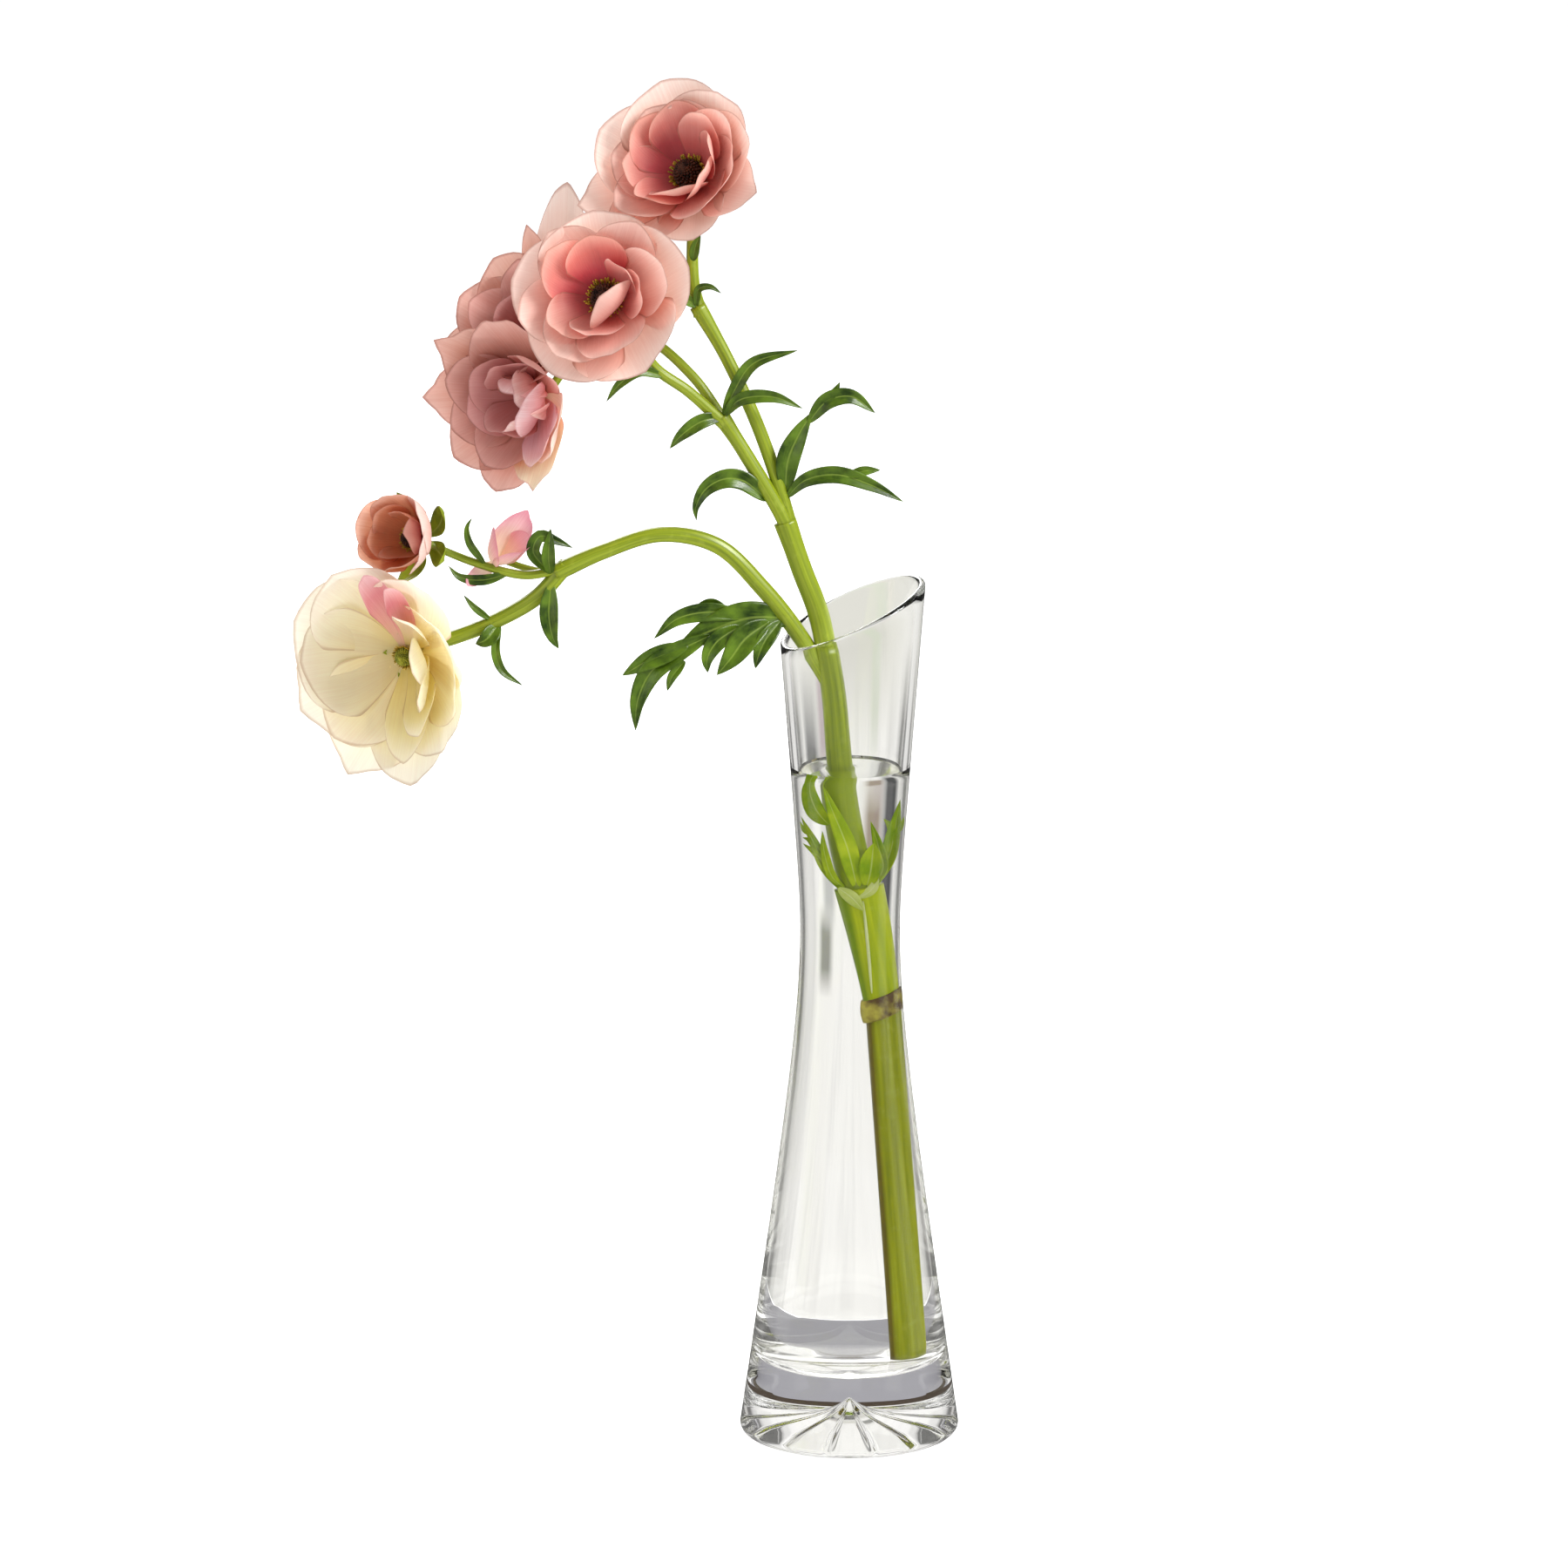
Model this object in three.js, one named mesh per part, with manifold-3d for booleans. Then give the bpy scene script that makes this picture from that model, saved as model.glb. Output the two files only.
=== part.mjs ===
// Slant-rimmed glass bud vase holding water and one cut spray of butterfly ranunculus.
//
// Millimetres, +Z up. X runs to the right of the vase's front view and Y away from the viewer.
// Everything is drawn about the vase's own axis; the last lines move the whole group so that
// the origin is the centre of its footprint, on the surface that the vase stands on.
//
// The glass is one pressed piece: a heavy foot with a fluted hollow underneath, a straight
// cone, a waist, and a flared neck that is cut on a slant and fire polished. The spray rests
// its cut end on the floor of the cavity, leans through the waist and forks at the rim.

import * as THREE from "three";
import { mergeVertices } from "three/addons/utils/BufferGeometryUtils.js";
import Module from "manifold-3d";

// ---------- driving dimensions ----------

const WAIST_RADIUS = 13.7;
const WAIST_HEIGHT = 143;
const BELOW_WAIST = { slope: 0.148, bend: 4.8 }; // hyperbola from the waist down to the foot
const ABOVE_WAIST = { slope: 0.08, bend: 1.05 }; // and from the waist up to the rim
const RIM_MIDDLE = 231.5; // mean height of the slanted rim
const RIM_RISE = 8.6; // how far its high side stands above that mean
const RIM_TURN = THREE.MathUtils.degToRad(13); // the high side, from +X towards +Y
const SLANT_START = 196; // rows of the neck above this follow the slant

const WALL_AT_RIM = 2.1;
const WALL_AT_FLOOR = 3.6;
const FLOOR_HEIGHT = 20; // inside floor of the cavity, above the table
const FLOOR_FILLET = 7;
const FOOT_CORNER = 2.6; // rounding between the foot's underside and its side
const FLUTES = 12; // scoops of the hollow under the foot
const HOLLOW_RADIUS = 24.5;
const HOLLOW_HEIGHT = 11;
const FLUTE_DEPTH = 2.2; // how far a scoop's middle rises above the ridges beside it

const WATER_LEVEL = 188;
const GAP = 0.35; // air between any two pieces

const PETAL_THICKNESS = 0.8;
const LEAF_THICKNESS = 0.7;
const STEM_SIDES = 8;

// ---------- materials ----------

const paint = (color, roughness, more = {}) =>
  new THREE.MeshStandardMaterial({ color, roughness, metalness: 0, ...more });

const MATERIALS = {
  glass: paint(0xf2f6f5, 0.03, { transparent: true, opacity: 0.3 }),
  water: paint(0xf4f8f6, 0.02, { transparent: true, opacity: 0.25 }),
  stem: paint(0x93aa1f, 0.4),
  scar: paint(0x8a6a1e, 0.6),
  leaf: paint(0x3f6b1c, 0.5),
  sepal: paint(0x6d8c22, 0.5),
  blush: paint(0xe9b3a3, 0.55),
  rose: paint(0xc9606a, 0.55),
  mauve: paint(0xc9868c, 0.55),
  coral: paint(0xc8765a, 0.55),
  cream: paint(0xf3ecc6, 0.5),
  stigma: paint(0x2c130c, 0.7),
  green_stigma: paint(0x8a8d1b, 0.6),
};

// ---------- solids ----------

const wasm = await Module();
wasm.setup();

// A closed solid from a geometry, in the space that matrix carries it to.
function toSolid(geometry, matrix) {
  const bare = new THREE.BufferGeometry();
  bare.setAttribute("position", geometry.getAttribute("position").clone());
  bare.setIndex(geometry.index);
  const merged = mergeVertices(bare.applyMatrix4(matrix), 1e-3);
  const corners = merged.index.array;
  const kept = [];
  for (let i = 0; i < corners.length; i += 3) {
    const [a, b, c] = corners.slice(i, i + 3);
    if (a !== b && b !== c && c !== a) kept.push(a, b, c);
  }
  return new wasm.Manifold(
    new wasm.Mesh({
      numProp: 3,
      vertProperties: merged.attributes.position.array,
      triVerts: new Uint32Array(kept),
    }),
  );
}

function toGeometry(solid) {
  const { numProp, numVert, vertProperties, triVerts } = solid.getMesh();
  const position = new Float32Array(numVert * 3);
  for (let i = 0; i < numVert; i++) {
    position.set(vertProperties.subarray(i * numProp, i * numProp + 3), i * 3);
  }
  const geometry = new THREE.BufferGeometry();
  geometry.setAttribute("position", new THREE.BufferAttribute(position, 3));
  geometry.setIndex(new THREE.BufferAttribute(triVerts, 1));
  geometry.computeVertexNormals();
  return geometry;
}

// Cutting can leave crumbs; the piece is what is largest.
const largest = (solid) =>
  solid.decompose().reduce((a, b) => (b.volume() > a.volume() ? b : a));

const joined = (geometries) =>
  geometries.map((g) => toSolid(g, new THREE.Matrix4())).reduce((a, b) => a.add(b));

// ---------- shapes ----------

// Moves each vertex of a geometry to where place(vertex) says.
function reshape(geometry, place) {
  const position = geometry.getAttribute("position");
  const vertex = new THREE.Vector3();
  for (let i = 0; i < position.count; i++) {
    const { x, y, z } = place(vertex.fromBufferAttribute(position, i));
    position.setXYZ(i, x, y, z);
  }
  return geometry;
}

const curveThrough = (points) =>
  new THREE.CatmullRomCurve3(points.map((p) => new THREE.Vector3(...p)), false, "centripetal");

// A rod or blade along a smooth curve: a cylinder whose rings are carried to the curve's points.
// width(t) and depth(t) are its half sizes across and along the face direction.
function sweep(points, width, depth, { sides = STEM_SIDES, steps = 8, face = [0, -1, 0.2] } = {}) {
  const curve = curveThrough(points);
  const facing = new THREE.Vector3(...face).normalize();
  return reshape(new THREE.CylinderGeometry(1, 1, 1, sides, steps), (v) => {
    const t = THREE.MathUtils.clamp(v.y + 0.5, 0, 1);
    const along = curve.getTangentAt(t);
    const across = new THREE.Vector3().crossVectors(along, facing).normalize();
    const out = new THREE.Vector3().crossVectors(across, along);
    return curve
      .getPointAt(t)
      .addScaledVector(across, v.x * width(t))
      .addScaledVector(out, v.z * depth(t));
  });
}

// A stem between two half thicknesses.
const stem = (points, from, to, options) => (grow) => {
  const radius = (t) => THREE.MathUtils.lerp(from, to, t) + grow;
  return sweep(points, radius, radius, options);
};

// A leaf blade: narrow at its base, widest part of the way along, and pointed.
function blade(points, halfWidth, { widest = 0.45, ...options } = {}) {
  const power = Math.log(0.5) / Math.log(widest);
  const width = (t) => 0.35 + halfWidth * Math.sin(Math.PI * t ** power) ** 0.8;
  return (grow) =>
    sweep(
      points,
      (t) => width(t) + grow,
      () => LEAF_THICKNESS / 2 + grow,
      { sides: 6, steps: 6, ...options },
    );
}

const bladeShape = (points, halfWidth, options) => {
  const shape = blade(points, halfWidth, options);
  return (grow) => joined([shape(grow)]);
};

// Several blades that share a base, as one body.
const lobedShape = (lobes) => {
  const blades = lobes.map(([points, halfWidth, options]) => blade(points, halfWidth, options));
  return (grow) => joined(blades.map((shape) => shape(grow)));
};

// A whorl of petals as one cup, with a notch in its rim between each petal and the next.
// It is a quarter ellipse turned about +Z, its lowest point at the origin.
function cup(radius, depth, petals, { notch = 0.12, lift = 0, sides = 20, rows = 4 } = {}) {
  return (grow) => {
    const half = PETAL_THICKNESS / 2 + grow;
    const reach = 1 + grow / radius;
    const profile = [];
    for (let i = 0; i <= rows; i++) profile.push(new THREE.Vector2(i / rows, -1));
    for (let i = rows; i >= 0; i--) profile.push(new THREE.Vector2(i / rows, 1));
    const turned = new THREE.LatheGeometry(profile, sides);
    return reshape(turned, (v) => {
      const side = v.y;
      const turn = Math.atan2(-v.z, v.x);
      const share = Math.hypot(v.x, v.z);
      const gapHere = Math.abs(Math.sin((petals * turn) / 2)) ** 4;
      const slope = (share * reach * (1 - notch * gapHere) * Math.PI) / 2;
      const r = (radius - side * half) * Math.sin(slope);
      return {
        x: r * Math.cos(turn),
        y: r * Math.sin(turn),
        z: lift + depth - (depth - side * half) * Math.cos(slope),
      };
    });
  };
}

// A round body about +Z from a few [radius, height] points that start and end on the axis.
const turned = (points, sides = 12) => (grow) => {
  const middle = points.reduce((sum, p) => sum + p[1], 0) / points.length;
  const top = Math.max(...points.map((p) => p[1]));
  const stretch = 1 + grow / (top - middle);
  const profile = points.map(
    ([r, z]) => new THREE.Vector2(r > 0 ? r + grow : 0, middle + (z - middle) * stretch),
  );
  return new THREE.LatheGeometry(profile, sides).rotateX(Math.PI / 2);
};

// ---------- glass ----------

function outerRadius(z) {
  const { slope, bend } = z < WAIST_HEIGHT ? BELOW_WAIST : ABOVE_WAIST;
  return WAIST_RADIUS + Math.hypot(bend, slope * (z - WAIST_HEIGHT)) - bend;
}

function wall(z) {
  const share = THREE.MathUtils.clamp((z - FLOOR_HEIGHT) / (RIM_MIDDLE - FLOOR_HEIGHT), 0, 1);
  return THREE.MathUtils.lerp(WALL_AT_FLOOR, WALL_AT_RIM, share);
}

const innerRadius = (z) => outerRadius(z) - wall(z);
const rimHeight = (turn) => RIM_MIDDLE + RIM_RISE * Math.cos(turn - RIM_TURN);

// Rows of the neck spread out or close up so that the top one lies on the slanted rim.
function slanted(z, turn) {
  if (z <= SLANT_START) return z;
  const share = (z - SLANT_START) / (RIM_MIDDLE - SLANT_START);
  return SLANT_START + share * (rimHeight(turn) - SLANT_START);
}

// The hollow under the foot: a shallow cone to a point on the axis, scooped into flutes, one
// of which faces the front.
function hollowHeight(r, turn) {
  const inward = 1 - r / HOLLOW_RADIUS;
  const scoop = Math.abs(Math.cos((FLUTES * turn) / 2));
  return HOLLOW_HEIGHT * inward ** 1.3 + FLUTE_DEPTH * scoop * 4 * inward * (1 - inward);
}

// Heights at which the glass gets a row of corners, closest together at the waist.
const WALL_ROWS = [26, 45, 70, 95, 112, 126, 137, 148, 160, 176, SLANT_START, 214];

// Cavity profile from the wall at the first row down to the axis.
function floorProfile(inset) {
  const side = innerRadius(FLOOR_HEIGHT + FLOOR_FILLET) - inset;
  const bottom = FLOOR_HEIGHT + inset;
  const points = [];
  for (let i = 0; i <= 3; i++) {
    const turn = (i / 3) * (Math.PI / 2);
    points.push([
      side - FLOOR_FILLET * (1 - Math.cos(turn)),
      bottom + FLOOR_FILLET * (1 - Math.sin(turn)),
    ]);
  }
  return [...points, [0, bottom]];
}

function vaseShape() {
  const corner = FOOT_CORNER;
  const footRadius = outerRadius(corner);
  const bead = WALL_AT_RIM / 2;
  const lip = RIM_MIDDLE - bead; // where the rim's rounding begins
  const lipMiddle = outerRadius(lip) - bead;
  const rows = [];
  for (const r of [0, 4, 10, 17, HOLLOW_RADIUS]) rows.push([r, 0, "hollow"]);
  rows.push([footRadius - corner, 0]);
  rows.push([footRadius - corner * 0.3, corner * 0.3]);
  rows.push([footRadius, corner]);
  for (const z of WALL_ROWS) rows.push([outerRadius(z), z, "outer"]);
  for (let i = 0; i <= 4; i++) {
    const turn = (i / 4) * Math.PI;
    rows.push([lipMiddle + bead * Math.cos(turn), lip + bead * Math.sin(turn), "rim"]);
  }
  for (const z of [...WALL_ROWS].reverse().slice(0, -1)) rows.push([innerRadius(z), z, "inner"]);
  for (const [r, z] of floorProfile(0)) rows.push([r, z]);

  // Each row is drawn by its number first, so that every vertex knows which row it is on.
  const count = rows.length;
  const profile = rows.map(([r], i) => new THREE.Vector2(r > 0 ? 1 : 0, i));
  return reshape(new THREE.LatheGeometry(profile, 48), (v) => {
    const [r, z, kind] = rows[Math.min(Math.round(v.y), count - 1)];
    const turn = Math.atan2(-v.z, v.x);
    let radius = r;
    let height = z;
    if (kind === "hollow") height = hollowHeight(r, turn);
    if (kind === "outer" || kind === "rim" || kind === "inner") {
      height = slanted(z, turn);
      radius = r + outerRadius(height) - outerRadius(z);
    }
    if (r === 0) radius = 0;
    return { x: radius * Math.cos(turn), y: radius * Math.sin(turn), z: height };
  });
}

// Water fills the cavity up to its level, a gap inside the glass.
function waterShape() {
  const points = floorProfile(GAP).reverse();
  for (const z of WALL_ROWS) {
    if (z < WATER_LEVEL && z > FLOOR_HEIGHT + FLOOR_FILLET + 1) {
      points.push([innerRadius(z) - GAP, z]);
    }
  }
  points.push([innerRadius(WATER_LEVEL) - GAP, WATER_LEVEL]);
  points.push([0, WATER_LEVEL]);
  const profile = points.map(([r, z]) => new THREE.Vector2(r, z));
  return new THREE.LatheGeometry(profile, 32).rotateX(Math.PI / 2);
}

// ---------- the spray's centre lines, about the vase's axis ----------

const CUT_END = [12.5, 0, FLOOR_HEIGHT + GAP];
const LOWER_NODE = [7.1, 0, 120];
const WHORL = [1.8, 0, 155];
const RIM_FORK = [-5.9, 0, 217.5];
const UPPER_FORK = [-17.6, 0, 255.6];
const MIDDLE_NODE = [-35, -1, 285.5];
const TOP_NODE = [-41.5, 2, 315.4];
const ARCH_NODE = [-80, -6, 243.5];

// ---------- the scene ----------

const vase = new THREE.Group();
const spray = new THREE.Group();
const scene = new THREE.Group();
scene.add(vase, spray);

// Every piece in the order that it is cut: each gives way to those listed before it.
const pieces = [];
const add = (name, material, shape, parent = spray) => {
  pieces.push({ name, material, shape, parent });
};

add("vase_body", "glass", vaseShape, vase);

// Stems.
add("lower_stem", "stem", stem([CUT_END, [9.9, 0, 68], LOWER_NODE], 4.0, 3.9, { steps: 6 }));
add(
  "node_collar",
  "scar",
  stem([[7.15, 0, 118.6], [6.75, 0, 124.6]], 4.35, 4.45, { steps: 1, sides: 10 }),
);
add(
  "sheathed_stem",
  "stem",
  stem([[6.7, 0, 125], [5.2, 0, 134], [3.4, 0, 146], WHORL], 4.1, 4.7, { steps: 5, sides: 10 }),
);
add(
  "upper_stem",
  "stem",
  stem([[1.7, 0, 155.4], [-1.2, 0, 172], [-3.2, 0, 192], [-4.5, 0, 208], RIM_FORK], 3.9, 3.4),
);
add(
  "upright_stem",
  "stem",
  stem([[-6, 0, 218], [-8.8, 0, 231], [-13.2, 0, 243], UPPER_FORK], 2.8, 2.7, { steps: 6 }),
);
add(
  "top_stem",
  "stem",
  stem([UPPER_FORK, [-18, 0.6, 264], [-24.4, 1, 280.5], [-33.3, 2, 300.5], TOP_NODE], 1.9, 1.7),
);
add(
  "top_pedicel",
  "stem",
  stem([TOP_NODE, [-43.2, 3, 325], [-42.4, 6.5, 339], [-41, 9.5, 345.5]], 1.6, 1.5, { steps: 6 }),
);
add(
  "middle_stem",
  "stem",
  stem([UPPER_FORK, [-22.4, -1, 264.6], [-28.8, -1, 275.7], MIDDLE_NODE], 2.2, 1.9, { steps: 6 }),
);
add(
  "middle_pedicel",
  "stem",
  stem([MIDDLE_NODE, [-44, -4, 293], [-53, -6, 300], [-60, -9, 312], [-63.6, -11, 319.5]], 1.5, 1.4),
);
add(
  "rear_pedicel",
  "stem",
  stem([MIDDLE_NODE, [-43, 3, 296], [-56, 9, 305.5], [-70, 15, 305], [-77.5, 19, 299]], 1.4, 1.2),
);
add(
  "drooping_pedicel",
  "stem",
  stem([[-62, 11.5, 306], [-70, 10, 303], [-77, 8.4, 297.5], [-80.8, 7.4, 292.5]], 1.2, 1.2, {
    steps: 5,
  }),
);
add(
  "arching_stem",
  "stem",
  stem(
    [[-6.8, 0, 213.5], [-14.1, -1, 225.3], [-24, -2.5, 238.5], [-36.2, -4, 250.5], [-51.4, -5, 253.8],
      [-67.3, -6, 249.2], ARCH_NODE],
    2.5, 1.9, { steps: 14 },
  ),
);
add(
  "cream_pedicel",
  "stem",
  stem([ARCH_NODE, [-85, -5, 236.2], [-97, -4, 229.4], [-107, -4, 225.4], [-113.6, -5, 223.6]], 2.3, 1.9, {
    steps: 7,
  }),
);
add(
  "bud_pedicel",
  "stem",
  stem([ARCH_NODE, [-88, -7, 243], [-100.3, -7.5, 246], [-110.5, -7.5, 250], [-114.8, -7.6, 252.3]], 1.3, 1.0, {
    steps: 7,
  }),
);
add(
  "half_open_pedicel",
  "stem",
  stem([[-84, -5, 243.2], [-89, -3, 244.4], [-93.4, -2, 245.6]], 0.9, 0.9, { steps: 3 }),
);

// ---------- flowers ----------

// The flower's own frame has its origin at the bottom of its cup and +Z out of its mouth.
function flowerFrame(at, facing) {
  const frame = new THREE.Group();
  frame.position.set(...at);
  frame.quaternion.setFromUnitVectors(
    new THREE.Vector3(0, 0, 1),
    new THREE.Vector3(...facing).normalize(),
  );
  spray.add(frame);
  return frame;
}

// A green calyx, two whorls of petals and a dark dome of stigmas in a ring of stamens.
function addFlower(name, at, facing, { outer, inner, colours, size = 1, centre = "stigma" }) {
  const frame = flowerFrame(at, facing);
  const bulb = [[0, -6.2], [2.1, -5.6], [3.4, -3], [3.2, -1.2], [0, -0.9]];
  const dome = [[0, 2.1], [4.2, 2.5], [3.9, 4.5], [2.2, 6.3], [0, 6.8]];
  const scaled = (points) => points.map(([r, z]) => [r * size, z]);
  add(`${name}_calyx`, "sepal", turned(scaled(bulb)), frame);
  add(`${name}_outer_petals`, colours[0], cup(...outer), frame);
  add(`${name}_inner_petals`, colours[1], cup(inner[0], inner[1], inner[2], { lift: 1.2 }), frame);
  add(`${name}_centre`, centre, turned(scaled(dome)), frame);
}

addFlower("middle_flower", [-65.5, -18, 322.5], [-0.18, -0.96, 0.22], {
  outer: [23, 11, 7], inner: [13.5, 13, 6], colours: ["blush", "rose"],
});
addFlower("top_flower", [-42.5, 4, 351.5], [-0.3, -0.85, 0.43], {
  outer: [22.5, 12, 7], inner: [13.5, 13, 6], colours: ["blush", "rose"],
});
addFlower("drooping_flower", [-85.6, 2, 291], [-0.66, -0.74, -0.05], {
  outer: [23, 12, 6], inner: [13, 13, 5], colours: ["mauve", "mauve"],
});
addFlower("rear_flower", [-82, 15.5, 300.5], [-0.72, -0.08, 0.69], {
  outer: [22, 15, 6], inner: [13, 14, 5], colours: ["blush", "mauve"],
});
addFlower("bud_flower", [-119.4, -9, 253.4], [-0.68, -0.7, 0.18], {
  outer: [11.5, 13, 5], inner: [7.5, 11, 5], colours: ["coral", "coral"], size: 0.62,
});
addFlower("cream_flower", [-118.6, -8.4, 221.6], [-0.72, -0.69, -0.12], {
  outer: [27, 19, 6], inner: [15, 16, 5], colours: ["cream", "cream"], centre: "green_stigma",
});

// The half-open flower beside the bud's stalk.
const halfOpen = flowerFrame([-94.6, -1.6, 247], [-0.25, -0.15, 0.95]);
add(
  "half_open_bud",
  "blush",
  turned([[0, -1.2], [2.6, 0.4], [4.2, 4], [3.4, 8.5], [1.2, 11.8], [0, 12.6]]),
  halfOpen,
);

// ---------- leaves ----------

// In the water, round the whorl.
add("whorl_leaf_left", "leaf", lobedShape([
  [[[-2, -2, 155.5], [-5.7, -3, 162], [-8.2, -3, 168.5], [-10.6, -2, 175.2]], 1.1],
  [[[-5.5, -3, 161.5], [-8.2, -3.5, 165], [-10.3, -3.5, 167]], 0.7],
]));
add("whorl_leaf_right", "leaf", lobedShape([
  [[[5, 1.5, 156], [7.6, 2, 163.5], [8.8, 2, 170.5], [10.1, 1.5, 179.5]], 1.4],
  [[[8.4, 2, 168], [8, 2.4, 172], [6.4, 2.6, 174]], 0.6],
]));
add("whorl_leaf_round", "leaf", bladeShape(
  [[4.3, -3, 156.5], [4.8, -4.4, 162], [4.6, -4.2, 168.8]], 2.1, { widest: 0.6 },
));
add("whorl_leaf_front", "stem", bladeShape(
  [[1.6, -3.4, 156.6], [-0.8, -5.2, 168], [-4.4, -5.4, 179], [-6.2, -4.8, 184.5]], 1.5, { widest: 0.4 },
));
add("surface_leaf", "leaf", bladeShape(
  [[-4.6, -2, 173.5], [-7.6, -3.2, 178], [-9, -3.2, 183], [-8.6, -2.6, 187.2]], 1.7,
  { face: [-0.5, -1, 0.1] },
));

// At the rim: one big leaf cut into lobes.
add("rim_leaf", "leaf", lobedShape([
  [[[-17.5, -2.6, 231.4], [-30.2, -6, 232.2], [-42, -8, 229.6], [-50.7, -8, 224.4]], 2.0],
  [[[-19, -3, 231], [-30.2, -6, 228], [-43.6, -9, 223.6], [-53.8, -10, 218.8], [-58.2, -10, 209],
    [-58.5, -9, 201]], 2.2],
  [[[-50, -9.4, 221], [-56.5, -10.6, 219.2], [-62.2, -10, 216.6]], 1.4],
  [[[-31, -6.4, 229.4], [-37.3, -9, 225.2], [-38.8, -10, 220], [-38.4, -9.6, 217.2]], 1.5],
  [[[-21, -4, 230.8], [-27, -7.6, 226.6], [-31, -9.6, 222], [-36.7, -10.6, 217]], 2.0],
  [[[-18.6, -3, 231], [-22.6, -6.6, 227], [-25, -8, 222.8], [-26.2, -8, 218]], 1.2],
]));

// Up the upright stems.
add("hooked_leaf", "leaf", bladeShape(
  [[-24.5, -1, 263.6], [-29.3, -2.6, 268.2], [-34.4, -3.6, 268.8], [-39.4, -4, 266], [-42, -4, 261],
    [-41.8, -4, 257.8]], 2.1, { widest: 0.4, steps: 8 },
));
add("forked_leaf", "leaf", lobedShape([
  [[[-16.4, 0, 264.2], [-12.5, -1.6, 268], [-4, -2.6, 269.8], [6, -3, 266.8], [14, -3, 262.6]], 1.8],
  [[[-1, -2.6, 269.4], [3.6, -2.4, 270.6], [7.6, -2, 270.6]], 0.9],
]));
add("upright_leaf", "leaf", lobedShape([
  [[[-17.6, 0.6, 266], [-17, -0.6, 273.4], [-14.2, -1, 280.3], [-10.4, -1, 286.4]], 2.4],
  [[[-11.2, -1, 284.6], [-6.3, -2, 290], [0, -2, 291.2], [6.2, -1.6, 287]], 1.8],
  [[[-7.4, -1.9, 289.4], [-4.4, -1.6, 292.4], [-3.2, -1.2, 294.6]], 0.7],
]));
add("middle_leaf", "leaf", lobedShape([
  [[[-34.6, -3, 286], [-31.8, -4, 292.6], [-26.5, -4.4, 300.6], [-14.5, -3.6, 304]], 1.3],
  [[[-34.6, -3, 286], [-30, -4.6, 290.8], [-21, -5, 291.6], [-13.3, -4.6, 288.6]], 1.3],
  [[[-34.6, -3, 286], [-40.4, -4.6, 284.8], [-46, -5.4, 281], [-48.8, -5, 277.8]], 1.4],
]));
add("pedicel_leaf", "leaf", bladeShape(
  [[-51.4, -7, 298], [-57, -9, 299.4], [-62.4, -10, 296], [-65.8, -10, 291.6]], 1.0,
));
add("top_leaf", "leaf", lobedShape([
  [[[-42.2, -0.4, 316], [-41, -1.4, 320.6], [-38, -1.8, 321.2], [-35.2, -1.6, 319.6]], 0.7],
  [[[-42.2, -0.4, 316], [-45.6, -1, 318], [-47.6, -0.8, 314.6]], 0.9, { steps: 4 }],
]));

// Along the arching stem and its stalks.
add("arch_leaf", "leaf", lobedShape([
  [[[-81.4, -8.4, 244], [-86, -9, 250], [-84, -9.4, 254.2], [-79.9, -9.2, 253], [-75.4, -8.6, 251]],
    1.3, { steps: 8 }],
  [[[-81.4, -8.4, 244], [-81.8, -10, 249], [-81.2, -9.6, 256]], 1.4],
]));
add("arch_leaf_down", "leaf", bladeShape(
  [[-81.4, -7.6, 239.6], [-81.8, -8.6, 232], [-80.8, -8.4, 226], [-79.4, -8, 223.2]], 2.0,
));
add("arch_hook_leaf", "leaf", bladeShape(
  [[-99.6, -8.6, 247.2], [-103.2, -10, 252.6], [-103.8, -10, 256.6], [-102.6, -9.6, 259]], 0.7,
));
add("cream_bract_curled", "leaf", bladeShape(
  [[-95.4, -5, 227.6], [-96.4, -6.6, 222], [-94.6, -7, 216.6], [-89.4, -6.6, 212.6]], 0.8,
));
add("cream_bract_round", "leaf", bladeShape(
  [[-96.4, -6, 228], [-99, -7.6, 225.2], [-101.4, -7.4, 224.4]], 1.8, { steps: 4 },
));

// Last, so that it gives way to every stem and leaf that stands in it.
add("water", "water", waterShape, vase);

// ---------- assembly ----------

const boxesMeet = (a, b) =>
  [0, 1, 2].every((k) => a.min[k] <= b.max[k] + GAP && b.min[k] <= a.max[k] + GAP);

scene.updateMatrixWorld(true);
const finished = [];
for (const { name, material, shape, parent } of pieces) {
  const place = parent.matrixWorld;
  const solidAt = (grow) => {
    const made = shape(grow);
    return made.isBufferGeometry
      ? toSolid(made, place)
      : made.transform(place.toArray());
  };
  let solid = solidAt(0);
  for (const other of finished) {
    if (name !== "water" && other.name === "vase_body") continue;
    if (other.name !== "vase_body" && boxesMeet(solid.boundingBox(), other.box)) {
      solid = solid.subtract(other.grown);
    }
  }
  solid = largest(solid);
  finished.push({
    name,
    box: solid.boundingBox(),
    grown: name === "vase_body" ? solid : solidAt(GAP),
  });
  const geometry = toGeometry(solid).applyMatrix4(place.clone().invert());
  const mesh = new THREE.Mesh(geometry, MATERIALS[material]);
  mesh.name = name;
  parent.add(mesh);
}

// The origin goes to the middle of the footprint of everything, at the height of the table.
const box = new THREE.Box3().setFromObject(scene, true);
scene.position.set(-(box.min.x + box.max.x) / 2, -(box.min.y + box.max.y) / 2, 0);

export default scene;
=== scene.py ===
import math

import bpy
import numpy as np
from mathutils import Matrix, Vector, noise


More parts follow.
